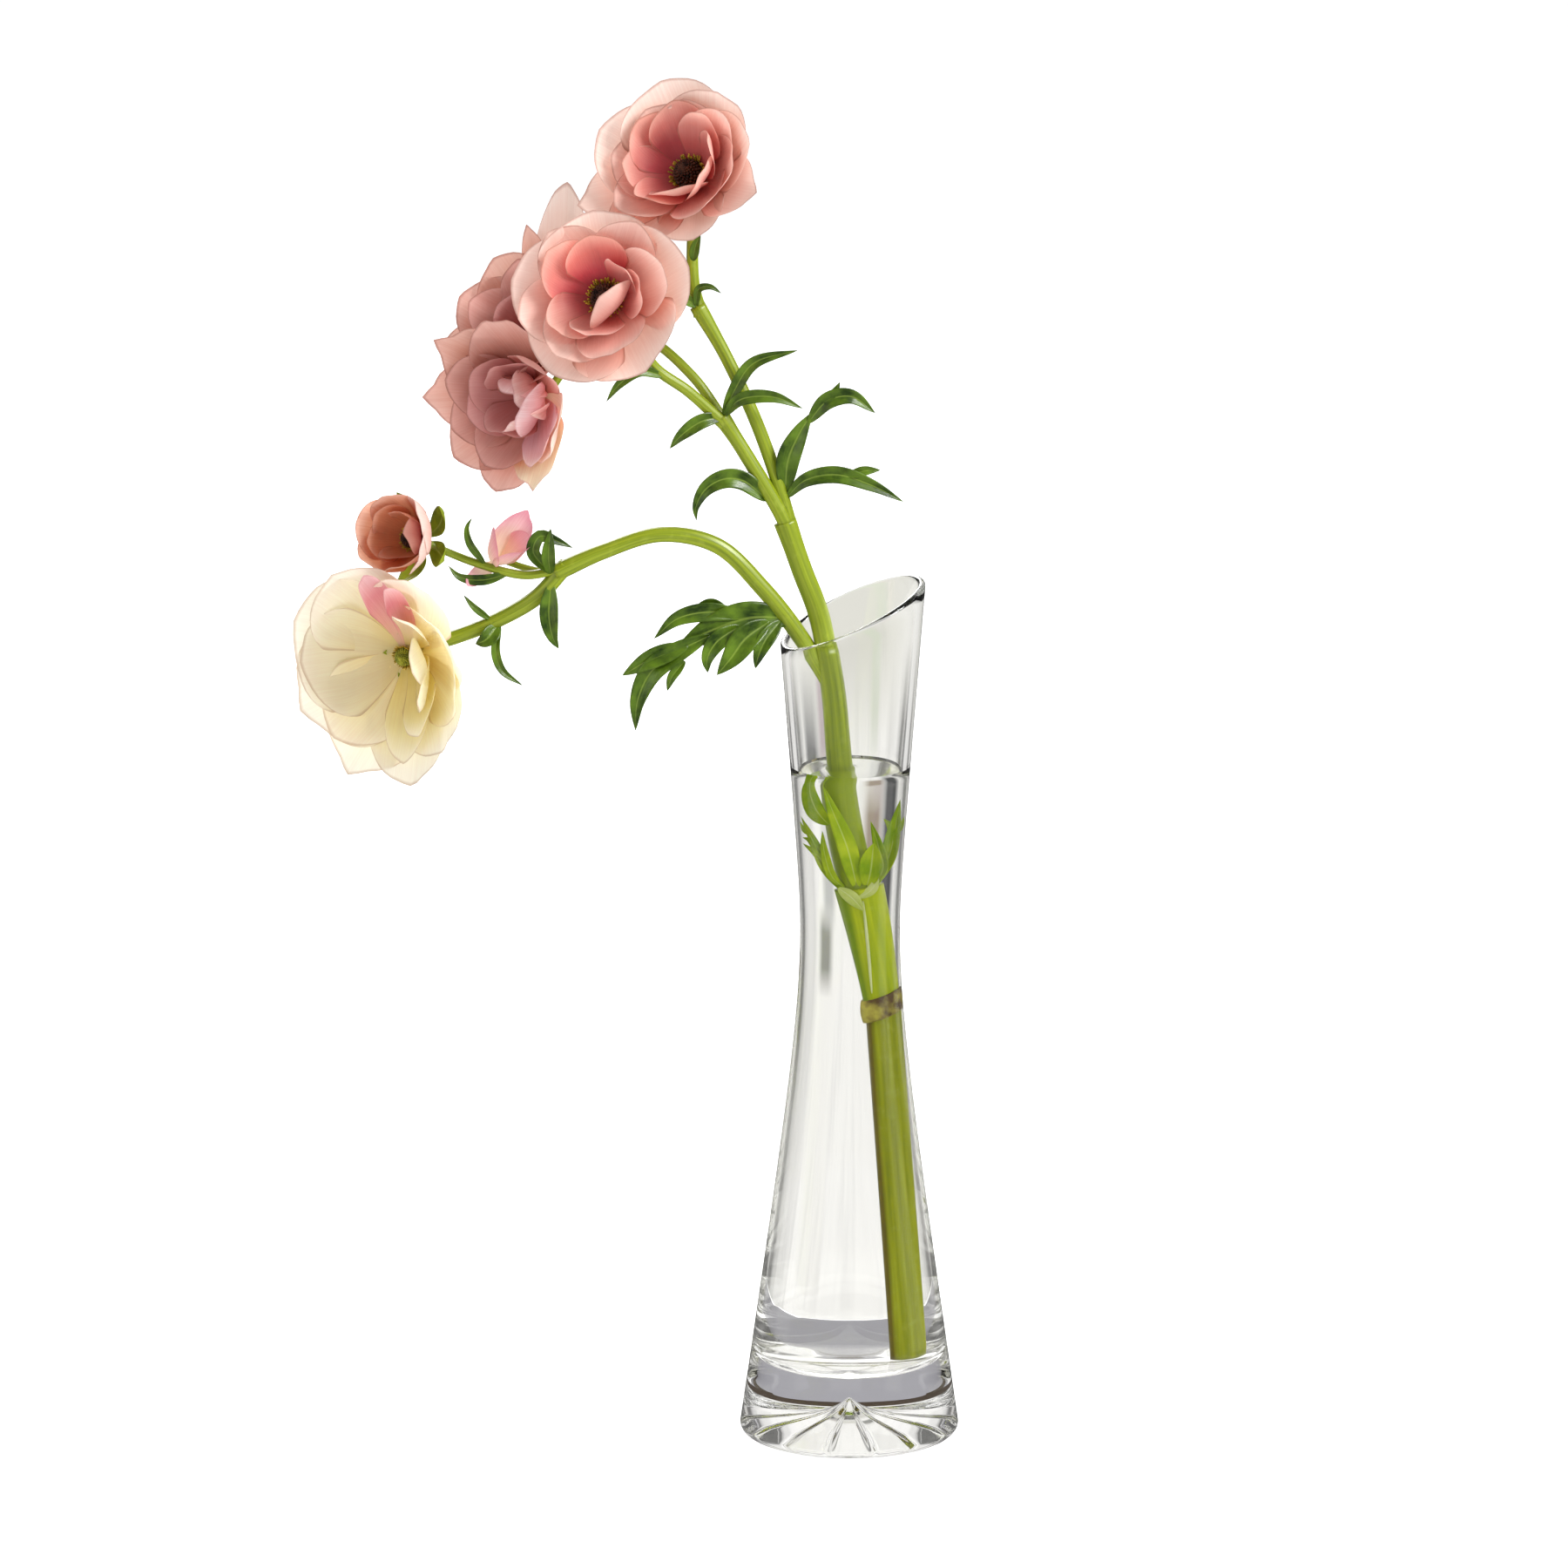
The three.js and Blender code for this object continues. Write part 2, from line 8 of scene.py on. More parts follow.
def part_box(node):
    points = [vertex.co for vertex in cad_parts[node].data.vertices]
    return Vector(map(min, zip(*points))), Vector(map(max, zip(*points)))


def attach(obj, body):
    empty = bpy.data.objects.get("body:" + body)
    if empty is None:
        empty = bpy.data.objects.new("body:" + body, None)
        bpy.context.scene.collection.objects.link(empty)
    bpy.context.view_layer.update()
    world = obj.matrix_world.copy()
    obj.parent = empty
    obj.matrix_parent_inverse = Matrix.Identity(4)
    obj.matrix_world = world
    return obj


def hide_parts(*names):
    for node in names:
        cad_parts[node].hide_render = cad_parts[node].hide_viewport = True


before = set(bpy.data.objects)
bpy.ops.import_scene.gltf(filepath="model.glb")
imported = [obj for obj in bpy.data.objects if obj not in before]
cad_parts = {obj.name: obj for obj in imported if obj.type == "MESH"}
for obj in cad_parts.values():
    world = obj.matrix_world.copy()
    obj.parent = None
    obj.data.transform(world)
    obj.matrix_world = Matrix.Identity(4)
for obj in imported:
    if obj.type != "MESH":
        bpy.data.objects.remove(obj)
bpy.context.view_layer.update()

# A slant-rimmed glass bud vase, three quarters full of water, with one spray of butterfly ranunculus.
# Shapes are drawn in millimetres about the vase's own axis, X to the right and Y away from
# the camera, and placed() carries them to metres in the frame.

vase_low, vase_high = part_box("vase_body")
AXIS = np.array([(vase_low.x + vase_high.x) / 2, (vase_low.y + vase_high.y) / 2, vase_low.z])
rng = np.random.default_rng(11)

# ---------- glass and water dimensions; all but the last three are as in the CAD ----------

WAIST_RADIUS = 13.7
WAIST_HEIGHT = 143
BELOW_WAIST = (0.148, 4.8)
ABOVE_WAIST = (0.08, 1.05)
RIM_MIDDLE = 231.5
RIM_RISE = 8.6
RIM_TURN = math.radians(13)
SLANT_START = 196
WALL_AT_RIM = 2.1
WALL_AT_FLOOR = 3.6
FLOOR_HEIGHT = 20
FLOOR_FILLET = 7
FOOT_CORNER = 2.6
FLUTES = 12
HOLLOW_RADIUS = 24.5
HOLLOW_HEIGHT = 11
FLUTE_DEPTH = 2.2
WATER_LEVEL = 188
FACET_RISE = 7.2
SPIKE_RADIUS = 2.6
GLASS_SEGMENTS = 192


# ---------- small geometry helpers ----------

def placed(points):
    """Millimetres about the vase's axis to metres in the frame."""
    return np.asarray(points, float) / 1000 + AXIS


def unit(v):
    v = np.asarray(v, float)
    return v / np.linalg.norm(v)


def mix(a, b, t):
    return a + (b - a) * t


def smooth_line(points, count):
    """count points, evenly spaced along a centripetal Catmull-Rom curve through points."""
    p = np.array(points, float)
    p = np.vstack([2 * p[0] - p[1], p, 2 * p[-1] - p[-2]])
    run = []
    for a, b, c, d in zip(p, p[1:], p[2:], p[3:]):
        t1 = np.linalg.norm(b - a) ** 0.5
        t2 = t1 + np.linalg.norm(c - b) ** 0.5
        t3 = t2 + np.linalg.norm(d - c) ** 0.5
        t = np.linspace(t1, t2, 20, endpoint=False)[:, None]
        ab = a + (b - a) * t / t1
        bc = b + (c - b) * (t - t1) / (t2 - t1)
        cd = c + (d - c) * (t - t2) / (t3 - t2)
        abc = ab + (bc - ab) * t / t2
        bcd = bc + (cd - bc) * (t - t1) / (t3 - t1)
        run.append(abc + (bcd - abc) * (t - t1) / (t2 - t1))
    run = np.vstack(run + [p[-2:-1]])
    gone = np.concatenate([[0], np.cumsum(np.linalg.norm(np.diff(run, axis=0), axis=1))])
    even = np.linspace(0, gone[-1], count)
    return np.stack([np.interp(even, gone, run[:, k]) for k in range(3)], axis=1)


class Surface:
    """Points in millimetres, faces, and for each point where it is in its own piece's grain
    (across, along, chance) and its tone (whorl, chance, free)."""

    def __init__(self, points, faces, grain, tone=(0, 0, 0), material=0):
        self.points = np.asarray(points, float).reshape(-1, 3)
        self.faces = faces
        self.grain = np.asarray(grain, float).reshape(-1, 3)
        self.tone = np.broadcast_to(np.asarray(tone, float), self.points.shape)
        self.material = material

    def moved(self, matrix, offset=(0, 0, 0)):
        points = self.points @ np.asarray(matrix).T + np.asarray(offset)
        return Surface(points, self.faces, self.grain, self.tone, self.material)


def grid_faces(rows, columns, closed=False):
    """Quads of a grid of points stored row by row; closed joins its last column to its first."""
    faces = []
    for i in range(rows - 1):
        for j in range(columns if closed else columns - 1):
            k = (j + 1) % columns
            faces.append((i * columns + j, i * columns + k,
                          (i + 1) * columns + k, (i + 1) * columns + j))
    return faces


def circle(sides):
    """Evenly spaced angles round a full turn."""
    return np.linspace(0, 2 * math.pi, sides, endpoint=False)


def ring(radius, turns, grain=1):
    """A round section for sweep(); grain is how far its grain runs across it."""
    return np.column_stack([radius * np.cos(turns), radius * np.sin(turns), grain * np.cos(turns)])


def sweep(points, section, steps, facing=(0, -1, 0.2), capped=True, tone=(0, 0, 0), material=0):
    """A closed skin along a curve. section(t) gives rows of (across, out, grain across)."""
    line = smooth_line(points, steps + 1)
    along = np.gradient(line, axis=0)
    rings, grain = [], []
    length = np.linalg.norm(np.diff(line, axis=0), axis=1).sum()
    for i, centre in enumerate(line):
        t = i / steps
        forward = unit(along[i])
        across = unit(np.cross(forward, unit(facing)))
        out = np.cross(across, forward)
        cut = np.asarray(section(t))
        rings.append(centre + cut[:, :1] * across + cut[:, 1:2] * out)
        grain.append(np.column_stack([cut[:, 2], np.full(len(cut), t), np.full(len(cut), length)]))
    columns = len(rings[0])
    faces = grid_faces(steps + 1, columns, closed=True)
    if capped:
        faces.append(tuple(range(columns - 1, -1, -1)))
        last = steps * columns
        faces.append(tuple(range(last, last + columns)))
    return Surface(np.vstack(rings), faces, np.vstack(grain), tone, material)


def add_mesh(name, points, faces, materials):
    mesh = bpy.data.meshes.new(name)
    mesh.from_pydata(points, [], faces)
    for material in materials:
        mesh.materials.append(material)
    obj = bpy.data.objects.new(name, mesh)
    bpy.context.scene.collection.objects.link(obj)
    return obj


def make_piece(name, surfaces, materials, node, body="spray"):
    """One object from several surfaces, riding on a body in place of a CAD node."""
    points, faces, grain, tone, index = [], [], [], [], []
    start = 0
    for s in surfaces:
        points.append(s.points)
        grain.append(s.grain)
        tone.append(s.tone)
        faces += [tuple(start + k for k in f) for f in s.faces]
        index += [s.material] * len(s.faces)
        start += len(s.points)
    obj = add_mesh(name, placed(np.vstack(points)).tolist(), faces, materials)
    mesh = obj.data
    mesh.polygons.foreach_set("material_index", index)
    mesh.polygons.foreach_set("use_smooth", [True] * len(faces))
    for label, rows in (("grain", np.vstack(grain)), ("tone", np.vstack(tone))):
        layer = mesh.attributes.new(label, "FLOAT_VECTOR", "POINT")
        layer.data.foreach_set("vector", rows.astype(np.float32).ravel())
    mesh.update()
    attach(obj, body)
    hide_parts(node)


# ---------- materials ----------

class Shader:
    """A material or a world under construction, with short names for the nodes that it uses."""

    def __init__(self, name, owners=bpy.data.materials):
        self.owner = owners.new(name)
        self.owner.use_nodes = True
        self.tree = self.owner.node_tree
        self.tree.nodes.clear()

    def node(self, kind, inputs=(), **settings):
        made = self.tree.nodes.new(kind)
        for key, value in settings.items():
            setattr(made, key, value)
        for key, value in dict(inputs).items():
            if isinstance(value, bpy.types.NodeSocket):
                self.tree.links.new(value, made.inputs[key])
            else:
                made.inputs[key].default_value = value
        return made

    def attribute(self, name):
        return self.node("ShaderNodeAttribute", attribute_name=name).outputs["Vector"]

    def place(self):
        return self.node("ShaderNodeTexCoord").outputs["Object"]

    def path(self, kind):
        """Which sort of ray is looking, or how often it has bounced so far."""
        return self.node("ShaderNodeLightPath").outputs[kind]

    def split(self, vector):
        return self.node("ShaderNodeSeparateXYZ", {0: vector}).outputs

    def join(self, x, y, z):
        return self.node("ShaderNodeCombineXYZ", {0: x, 1: y, 2: z}).outputs[0]

    def math(self, operation, a, b=0, c=0):
        made = self.node("ShaderNodeMath", {0: a, 1: b, 2: c}, operation=operation)
        return made.outputs[0]

    def times(self, a, b):
        return self.math("MULTIPLY", a, b)

    def noise(self, vector, scale, detail=3, roughness=0.55):
        inputs = {"Vector": vector, "Scale": scale, "Detail": detail, "Roughness": roughness}
        return self.node("ShaderNodeTexNoise", inputs).outputs["Fac"]

    def ramp(self, factor, stops):
        made = self.node("ShaderNodeValToRGB", {"Fac": factor})
        elements = made.color_ramp.elements
        while len(elements) < len(stops):
            elements.new(0.5)
        for element, (place, colour) in zip(elements, stops):
            element.position = place
            rgb = linear(colour) if isinstance(colour, str) else (colour,) * 3
            element.color = (*rgb, 1)
        return made.outputs["Color"]

    def blend(self, factor, a, b, how="MIX"):
        made = self.node("ShaderNodeMix", {0: factor}, data_type="RGBA", blend_type=how)
        for socket, value in ((made.inputs[6], a), (made.inputs[7], b)):
            if isinstance(value, bpy.types.NodeSocket):
                self.tree.links.new(value, socket)
            else:
                socket.default_value = (*linear(value), 1)
        return made.outputs[2]

    def bump(self, height, strength, distance):
        inputs = {"Height": height, "Strength": strength, "Distance": distance}
        return self.node("ShaderNodeBump", inputs).outputs["Normal"]

    def finish(self, shader, output="ShaderNodeOutputMaterial"):
        self.node(output, {"Surface": shader})
        return self.owner


def linear(code):
    """A hex colour such as "e9b3a3" as linear red, green and blue."""
    values = [int(code[i:i + 2], 16) / 255 for i in (0, 2, 4)]
    return tuple(v / 12.92 if v <= 0.04045 else ((v + 0.055) / 1.055) ** 2.4 for v in values)


def petal_material(name, inner, outer, rim, glow=0.36, veins=0.3):
    """Thin petal tissue. inner and outer are colour stops from base to tip for the first and
    last whorls, and a petal's tone says where it is between them."""
    s = Shader(name)
    across, along, chance = s.split(s.attribute("grain"))
    whorl_and_painted_shade, shade, _ = s.split(s.attribute("tone"))
    cloud = s.noise(s.place(), 70, 3)
    drift = s.math("MULTIPLY_ADD", cloud, 0.4, s.math("ADD", along, -0.2))
    # Tone sets where a petal lies between inner and outer paint; on the middle flower a lower tone is also a
    # painted shade.
    colour = s.blend(whorl_and_painted_shade, s.ramp(drift, inner), s.ramp(drift, outer))
    fan = s.join(s.times(across, 26), s.times(along, 1.3), chance)
    line = s.noise(fan, 1, 4, 0.7)
    dark = s.times(s.ramp(line, [(0.42, 1), (0.62, 0)]), veins)
    colour = s.blend(dark, colour, s.blend(1, colour, "e6b8b4", "MULTIPLY"))
    edge = s.math("MAXIMUM", along, s.math("ABSOLUTE", across))
    colour = s.blend(s.ramp(edge, [(0.965, 0), (0.995, 0.6)]), colour, rim)
    level = s.math("MULTIPLY_ADD", shade, 0.16, 0.92)
    colour = s.blend(1, colour, s.join(level, level, level), "MULTIPLY")
    relief = s.bump(line, 0.2, 0.0003)
    skin = s.node("ShaderNodeBsdfPrincipled", {
        "Base Color": colour, "Roughness": 0.5, "Specular IOR Level": 0.3,
        "Sheen Weight": 0.1, "Normal": relief,
    })
    light = s.node("ShaderNodeBsdfTranslucent", {"Color": colour, "Normal": relief})
    both = s.node("ShaderNodeMixShader", {0: glow, 1: skin.outputs[0], 2: light.outputs[0]})
    return s.finish(both.outputs[0])


def leaf_material(name, dark, light, rib, shine=0.6):
    """Green blade with a pale midrib, side veins and a darker, mottled surface."""
    s = Shader(name)
    across, along, chance = s.split(s.attribute("grain"))
    away = s.math("ABSOLUTE", across)
    cloud = s.noise(s.place(), 160, 4)
    colour = s.blend(s.ramp(cloud, [(0.35, 0), (0.68, 1)]), dark, light)
    slant = s.math("ADD", s.times(along, 9), s.times(away, -2.2))
    streak = s.noise(s.join(s.times(across, 5), slant, chance), 1, 3)
    colour = s.blend(s.times(s.ramp(streak, [(0.5, 0), (0.7, 1)]), 0.35), colour, light)
    colour = s.blend(s.ramp(away, [(0, 0.6), (0.11, 0)]), colour, rib)
    skin = s.node("ShaderNodeBsdfPrincipled", {
        "Base Color": colour, "Roughness": 0.3, "Specular IOR Level": shine,
        "Normal": s.bump(streak, 0.3, 0.0004),
    })
    through = s.node("ShaderNodeBsdfTranslucent", {"Color": s.blend(0.5, colour, light)})
    both = s.node("ShaderNodeMixShader", {0: 0.22, 1: skin.outputs[0], 2: through.outputs[0]})
    return s.finish(both.outputs[0])


def stem_material(name, dark, light, flecks, side=None, below=None, shine=0.5):
    """Juicy ribbed stem: streaks along its length and a few pale flecks. side is a darker colour
    painted on its left edge, a painted shade; below is a brighter colour painted on the part
    under water, a painted light, and the share of the length that has it."""
    s = Shader(name)
    around, along, length = s.split(s.attribute("grain"))
    run = s.times(along, s.times(length, 0.02))
    streak = s.noise(s.join(s.times(around, 2.6), run, 0), 1.4, 3, 0.45)
    colour = s.blend(s.ramp(streak, [(0.3, 0), (0.7, 1)]), dark, light)
    spots = s.noise(s.place(), 300, 2)
    colour = s.blend(s.times(s.ramp(spots, [(0.6, 0), (0.8, 1)]), 0.25), colour, flecks)
    # Painted light: the part under water is painted a brighter green.
    if below:
        lit_underwater, level = below
        colour = s.blend(s.ramp(along, [(level - 0.02, 0.7), (level + 0.02, 0)]), colour, lit_underwater)
    # Painted shade: a darker colour along the left edge, the side away from the key light.
    if side:
        share = s.math("MULTIPLY_ADD", around, 0.5, 0.5)
        colour = s.blend(s.ramp(share, [(0.14, 0.8), (0.26, 0)]), colour, side)
    skin = s.node("ShaderNodeBsdfPrincipled", {
        "Base Color": colour, "Roughness": 0.34, "Specular IOR Level": shine,
        "Subsurface Weight": 0.12, "Subsurface Radius": (0.003, 0.003, 0.001),
        "Subsurface Scale": 1, "Normal": s.bump(streak, 0.25, 0.0006),
    })
    return s.finish(skin.outputs[0])


def plain_organ(name, low, high, scale, roughness=0.6):
    """Mottled small parts: carpels, anthers and scars."""
    s = Shader(name)
    cloud = s.noise(s.place(), scale, 3)
    colour = s.blend(s.ramp(cloud, [(0.35, 0), (0.65, 1)]), low, high)
    skin = s.node("ShaderNodeBsdfPrincipled", {
        "Base Color": colour, "Roughness": roughness, "Normal": s.bump(cloud, 0.4, 0.0005),
    })
    return s.finish(skin.outputs[0])


def clear_material(name, index, tint, gloss=(1, 1, 1, 1)):
    """Glass or water: colourless, and polished but for a very faint ripple. gloss tints what it
    reflects face on: nothing for water, which touches glass on nearly every side."""
    s = Shader(name)
    ripple = s.noise(s.place(), 55, 1)
    body = s.node("ShaderNodeBsdfPrincipled", {
        "Base Color": (*linear(tint), 1), "Roughness": 0, "IOR": index,
        "Transmission Weight": 1, "Specular Tint": gloss, "Normal": s.bump(ripple, 0.08, 0.0006),
    })
    return s.finish(body.outputs[0])


GLASS = clear_material("pressed_glass", 1.5, "fdfdfc")
WATER = clear_material("water", 1.333, "fefefd", gloss=(0, 0, 0, 1))
STEM = stem_material("fresh_stem", "66760c", "8f9d1c", "aab44a")
# Under water, stems and leaves get brighter, more saturated paints than in air: painted light, for how they
# look lit through the glass and water.
UNDERWATER_STEM_LIT = stem_material("submerged_stem", "7c840c", "a0a61e", "bec464", side="5e4a14", shine=0.1)
SHEATH = stem_material("leaf_sheath", "8a9e0e", "b4be20", "ccd470", side="64800e", shine=0.1)
NECK_STEM_LIT_BELOW = stem_material("neck_stem_lit_below", "606f0c", "86941a", "a4ae46", below=("8a9c12", 0.5))
UNDERWATER_LEAF_LIT = leaf_material("submerged_leaf", "86a810", "bed02c", "dce688", shine=0.1)
MEMBRANE = leaf_material("sheath_membrane", "b2c256", "d0d88c", "e4e8b8", shine=0.1)
SCAR = plain_organ("sheath_scar", "5a4008", "b3a83a", 260)
LEAF = leaf_material("leaf", "263e09", "628018", "98ae48")
YOUNG_LEAF = leaf_material("young_leaf", "7d901a", "a8b832", "ccd678")
BLUSH = petal_material(
    "blush_petal",
    inner=[(0, "a62a3a"), (0.35, "ca4c54"), (0.7, "de8278"), (1, "edb4a4")],
    outer=[(0, "c4564c"), (0.3, "d8927c"), (0.55, "e6c0b0"), (1, "f0ddd3")],
    rim="9c6250", veins=0.16,
)
MAUVE = petal_material(
    "mauve_petal",
    inner=[(0, "ae544a"), (0.3, "cd7c79"), (0.7, "d99896"), (1, "e4b0ac")],
    outer=[(0, "a8583f"), (0.35, "bf7c62"), (0.7, "cf9681"), (1, "dfb5a6")],
    rim="8e4c3c", veins=0.2,
)
LILAC = petal_material(
    "lilac_petal",
    inner=[(0, "e2989e"), (0.4, "eab2bb"), (0.8, "f0cad3"), (1, "f6e2e6")],
    outer=[(0, "ecc98c"), (0.4, "efc79c"), (0.75, "ecd2a8"), (1, "f6e8c6")],
    rim="c98a90",
)
CORAL = petal_material(
    "coral_petal",
    inner=[(0, "a44c24"), (0.35, "cf7645"), (0.8, "e09a70"), (1, "ecb89c")],
    outer=[(0, "c2663a"), (0.4, "d6885e"), (0.8, "e6aa8e"), (1, "f0c6b2")],
    rim="a05a3c",
)
CREAM = petal_material(
    "cream_petal",
    inner=[(0, "e2cc5e"), (0.3, "efe294"), (0.7, "f2ebb8"), (1, "f4efd6")],
    outer=[(0, "e8d996"), (0.3, "f1e9c6"), (0.7, "f4f0da"), (1, "f4eede")],
    rim="b8977c", veins=0.12, glow=0.5,
)
PINK = petal_material(
    "pink_petal",
    inner=[(0, "f0d2a4"), (0.3, "edaca4"), (0.7, "ea96a0"), (1, "f2c4c8")],
    outer=[(0, "f6ead0"), (0.4, "f0dccb"), (0.75, "e8bcc0"), (1, "d995a6")],
    rim="cf8a92",
)
CARPEL = plain_organ("dark_carpels", "1c0a03", "5a2f14", 420)
GREEN_CARPEL = plain_organ("green_carpels", "6a7010", "a5a52a", 600)
STAMEN = plain_organ("stamens", "8a6f10", "c8a62a", 900)


# ---------- glass ----------

def outer_radius(z):
    z = np.asarray(z, float)
    slope = np.where(z < WAIST_HEIGHT, BELOW_WAIST[0], ABOVE_WAIST[0])
    bend = np.where(z < WAIST_HEIGHT, BELOW_WAIST[1], ABOVE_WAIST[1])
    return WAIST_RADIUS + np.hypot(bend, slope * (z - WAIST_HEIGHT)) - bend


def inner_radius(z):
    share = np.clip((np.asarray(z, float) - FLOOR_HEIGHT) / (RIM_MIDDLE - FLOOR_HEIGHT), 0, 1)
    return outer_radius(z) - mix(WALL_AT_FLOOR, WALL_AT_RIM, share)


def slanted(z, turn):
    """Rows of the neck spread or close up so that the top one lies on the slanted rim."""
    top = RIM_MIDDLE + RIM_RISE * np.cos(turn - RIM_TURN)
    share = (z - SLANT_START) / (RIM_MIDDLE - SLANT_START)
    return np.where(z <= SLANT_START, z, SLANT_START + share * (top - SLANT_START))


def hollow_height(r, turn):
    """Hollow under the foot: flat facets that rise to a spike on the axis; one facet faces front."""
    facet = 2 * math.pi / FLUTES
    off = (turn + math.pi / 2 + facet / 2) % facet - facet / 2
    inward = np.clip(1 - r * np.cos(off) / HOLLOW_RADIUS, 0, 1)
    groove = FLUTE_DEPTH * np.exp(-((facet / 2 - np.abs(off)) / 0.035) ** 2) * inward * (1 - inward)
    return FACET_RISE * inward + (HOLLOW_HEIGHT - FACET_RISE) * np.exp(-r / SPIKE_RADIUS) + groove


def cavity_floor(inset):
    """(radius, height) from the axis out and up to the start of the wall."""
    side = float(inner_radius(FLOOR_HEIGHT + FLOOR_FILLET)) - inset
    turns = np.linspace(math.pi / 2, 0, 12)
    flat = [(r, FLOOR_HEIGHT + inset) for r in np.linspace(0, side - FLOOR_FILLET, 8)[:-1]]
    round_part = [(side - FLOOR_FILLET * (1 - math.cos(a)),
                   FLOOR_HEIGHT + inset + FLOOR_FILLET * (1 - math.sin(a))) for a in turns]
    return flat + round_part


def turned_surface(rows, segments, place):
    """A closed skin of rings. place(row, turns) gives radii and heights round each ring."""
    turns = circle(segments)
    points = []
    for row in rows:
        radius, height = place(row, turns)
        radius = np.broadcast_to(radius, turns.shape)
        height = np.broadcast_to(height, turns.shape)
        points.append(np.column_stack([radius * np.cos(turns), radius * np.sin(turns), height]))
    faces = grid_faces(len(rows), segments, closed=True)
    points = np.vstack(points)
    for first, step in ((0, -1), ((len(rows) - 1) * segments, 1)):
        centre = len(points)
        points = np.vstack([points, points[first:first + segments].mean(axis=0)])
        for j in range(segments):
            pair = (first + j, first + (j + 1) % segments)
            faces.append((*pair[::step], centre))
    return Surface(points, faces, np.zeros((len(points), 3)))


def build_vase():
    foot = float(outer_radius(FOOT_CORNER))
    bead = WALL_AT_RIM / 2
    lip = RIM_MIDDLE - bead
    rows = [(r, 0, "hollow") for r in np.linspace(0.4, HOLLOW_RADIUS, 26)]
    rows.append((foot - FOOT_CORNER, 0, "plain"))
    for a in np.linspace(0, math.pi / 2, 7)[1:]:
        rows.append((foot - FOOT_CORNER * (1 - math.sin(a)), FOOT_CORNER * (1 - math.cos(a)), "plain"))
    heights = np.linspace(FOOT_CORNER, lip, 72)[1:-1]
    rows += [(float(outer_radius(z)), z, "wall") for z in heights]
    middle = float(outer_radius(lip)) - bead
    for a in np.linspace(0, math.pi, 11):
        rows.append((middle + bead * math.cos(a), lip + bead * math.sin(a), "wall"))
    inside = np.linspace(lip, FLOOR_HEIGHT + FLOOR_FILLET, 66)[1:-1]
    rows += [(float(inner_radius(z)), z, "wall") for z in inside]
    rows += [(max(r, 0.4), z, "plain") for r, z in reversed(cavity_floor(0))]

    def place(row, turns):
        r, z, kind = row
        if kind == "hollow":
            return r, hollow_height(r, turns)
        if kind == "plain":
            return r, z
        height = slanted(z, turns)
        return r + outer_radius(height) - outer_radius(z), height

    shell = turned_surface(rows, GLASS_SEGMENTS, place)
    make_piece("glass_vase", [shell], [GLASS], "vase_body", body="vase")


def build_water():
    """Water that wets the glass, with its surface drawn up at the wall and round the stem."""
    overlap = 0.12
    stem_x, stem_radius = -2.9, 3.7
    at_wall, wall_reach = 0.45, 0.7
    at_stem, stem_reach = 0.9, 0.9
    rows = [(max(r, 0.4), z, 0) for r, z in cavity_floor(-overlap)]
    for z in np.linspace(FLOOR_HEIGHT + FLOOR_FILLET, WATER_LEVEL + at_wall, 60)[1:]:
        rows.append((float(inner_radius(z)) + overlap, z, 0))
    wall = float(inner_radius(WATER_LEVEL)) + overlap
    rows += [(r, WATER_LEVEL, wall) for r in np.linspace(wall - 0.15, 0.4, 26)]

    def place(row, turns):
        r, z, wall_here = row
        if not wall_here:
            return r, z
        away = np.hypot(r * np.cos(turns) - stem_x, r * np.sin(turns)) - stem_radius
        climb = at_stem * np.exp(-np.clip(away, 0, None) / stem_reach)
        climb += at_wall * math.exp((r - wall) / wall_reach)
        return r, z + climb

    skin = turned_surface(rows, GLASS_SEGMENTS, place)
    make_piece("water_in_vase", [skin], [WATER], "water", body="vase")


# ---------- stems ----------

def build_stem(name, points, start, end, steps=60, material=None, swell=(0, 0), more=()):
    """A round stem with low ribs, drawn over one CAD node; swell thickens its two ends. More
    surfaces may lie on it, in the membrane's material."""
    ribs, rib_depth = 7, 0.02
    reach = 0.12
    turns = circle(36)

    def section(t):
        bulge = swell[0] * math.exp(-(t / reach) ** 2) + swell[1] * math.exp(-((1 - t) / reach) ** 2)
        radius = mix(start, end, t) + bulge
        return ring(radius * (1 + rib_depth * np.cos(ribs * turns + 2 * t)), turns)

    skin = sweep(points, section, steps)
    make_piece(f"{name}_skin", [skin, *more], [material or STEM, MEMBRANE], name)


def sheath_edge(t):
    """Thin raised edge of the leaf sheath, tapered at both ends."""
    return ring(0.1 + 0.28 * math.sin(math.pi * t) ** 0.5, circle(8), grain=0)


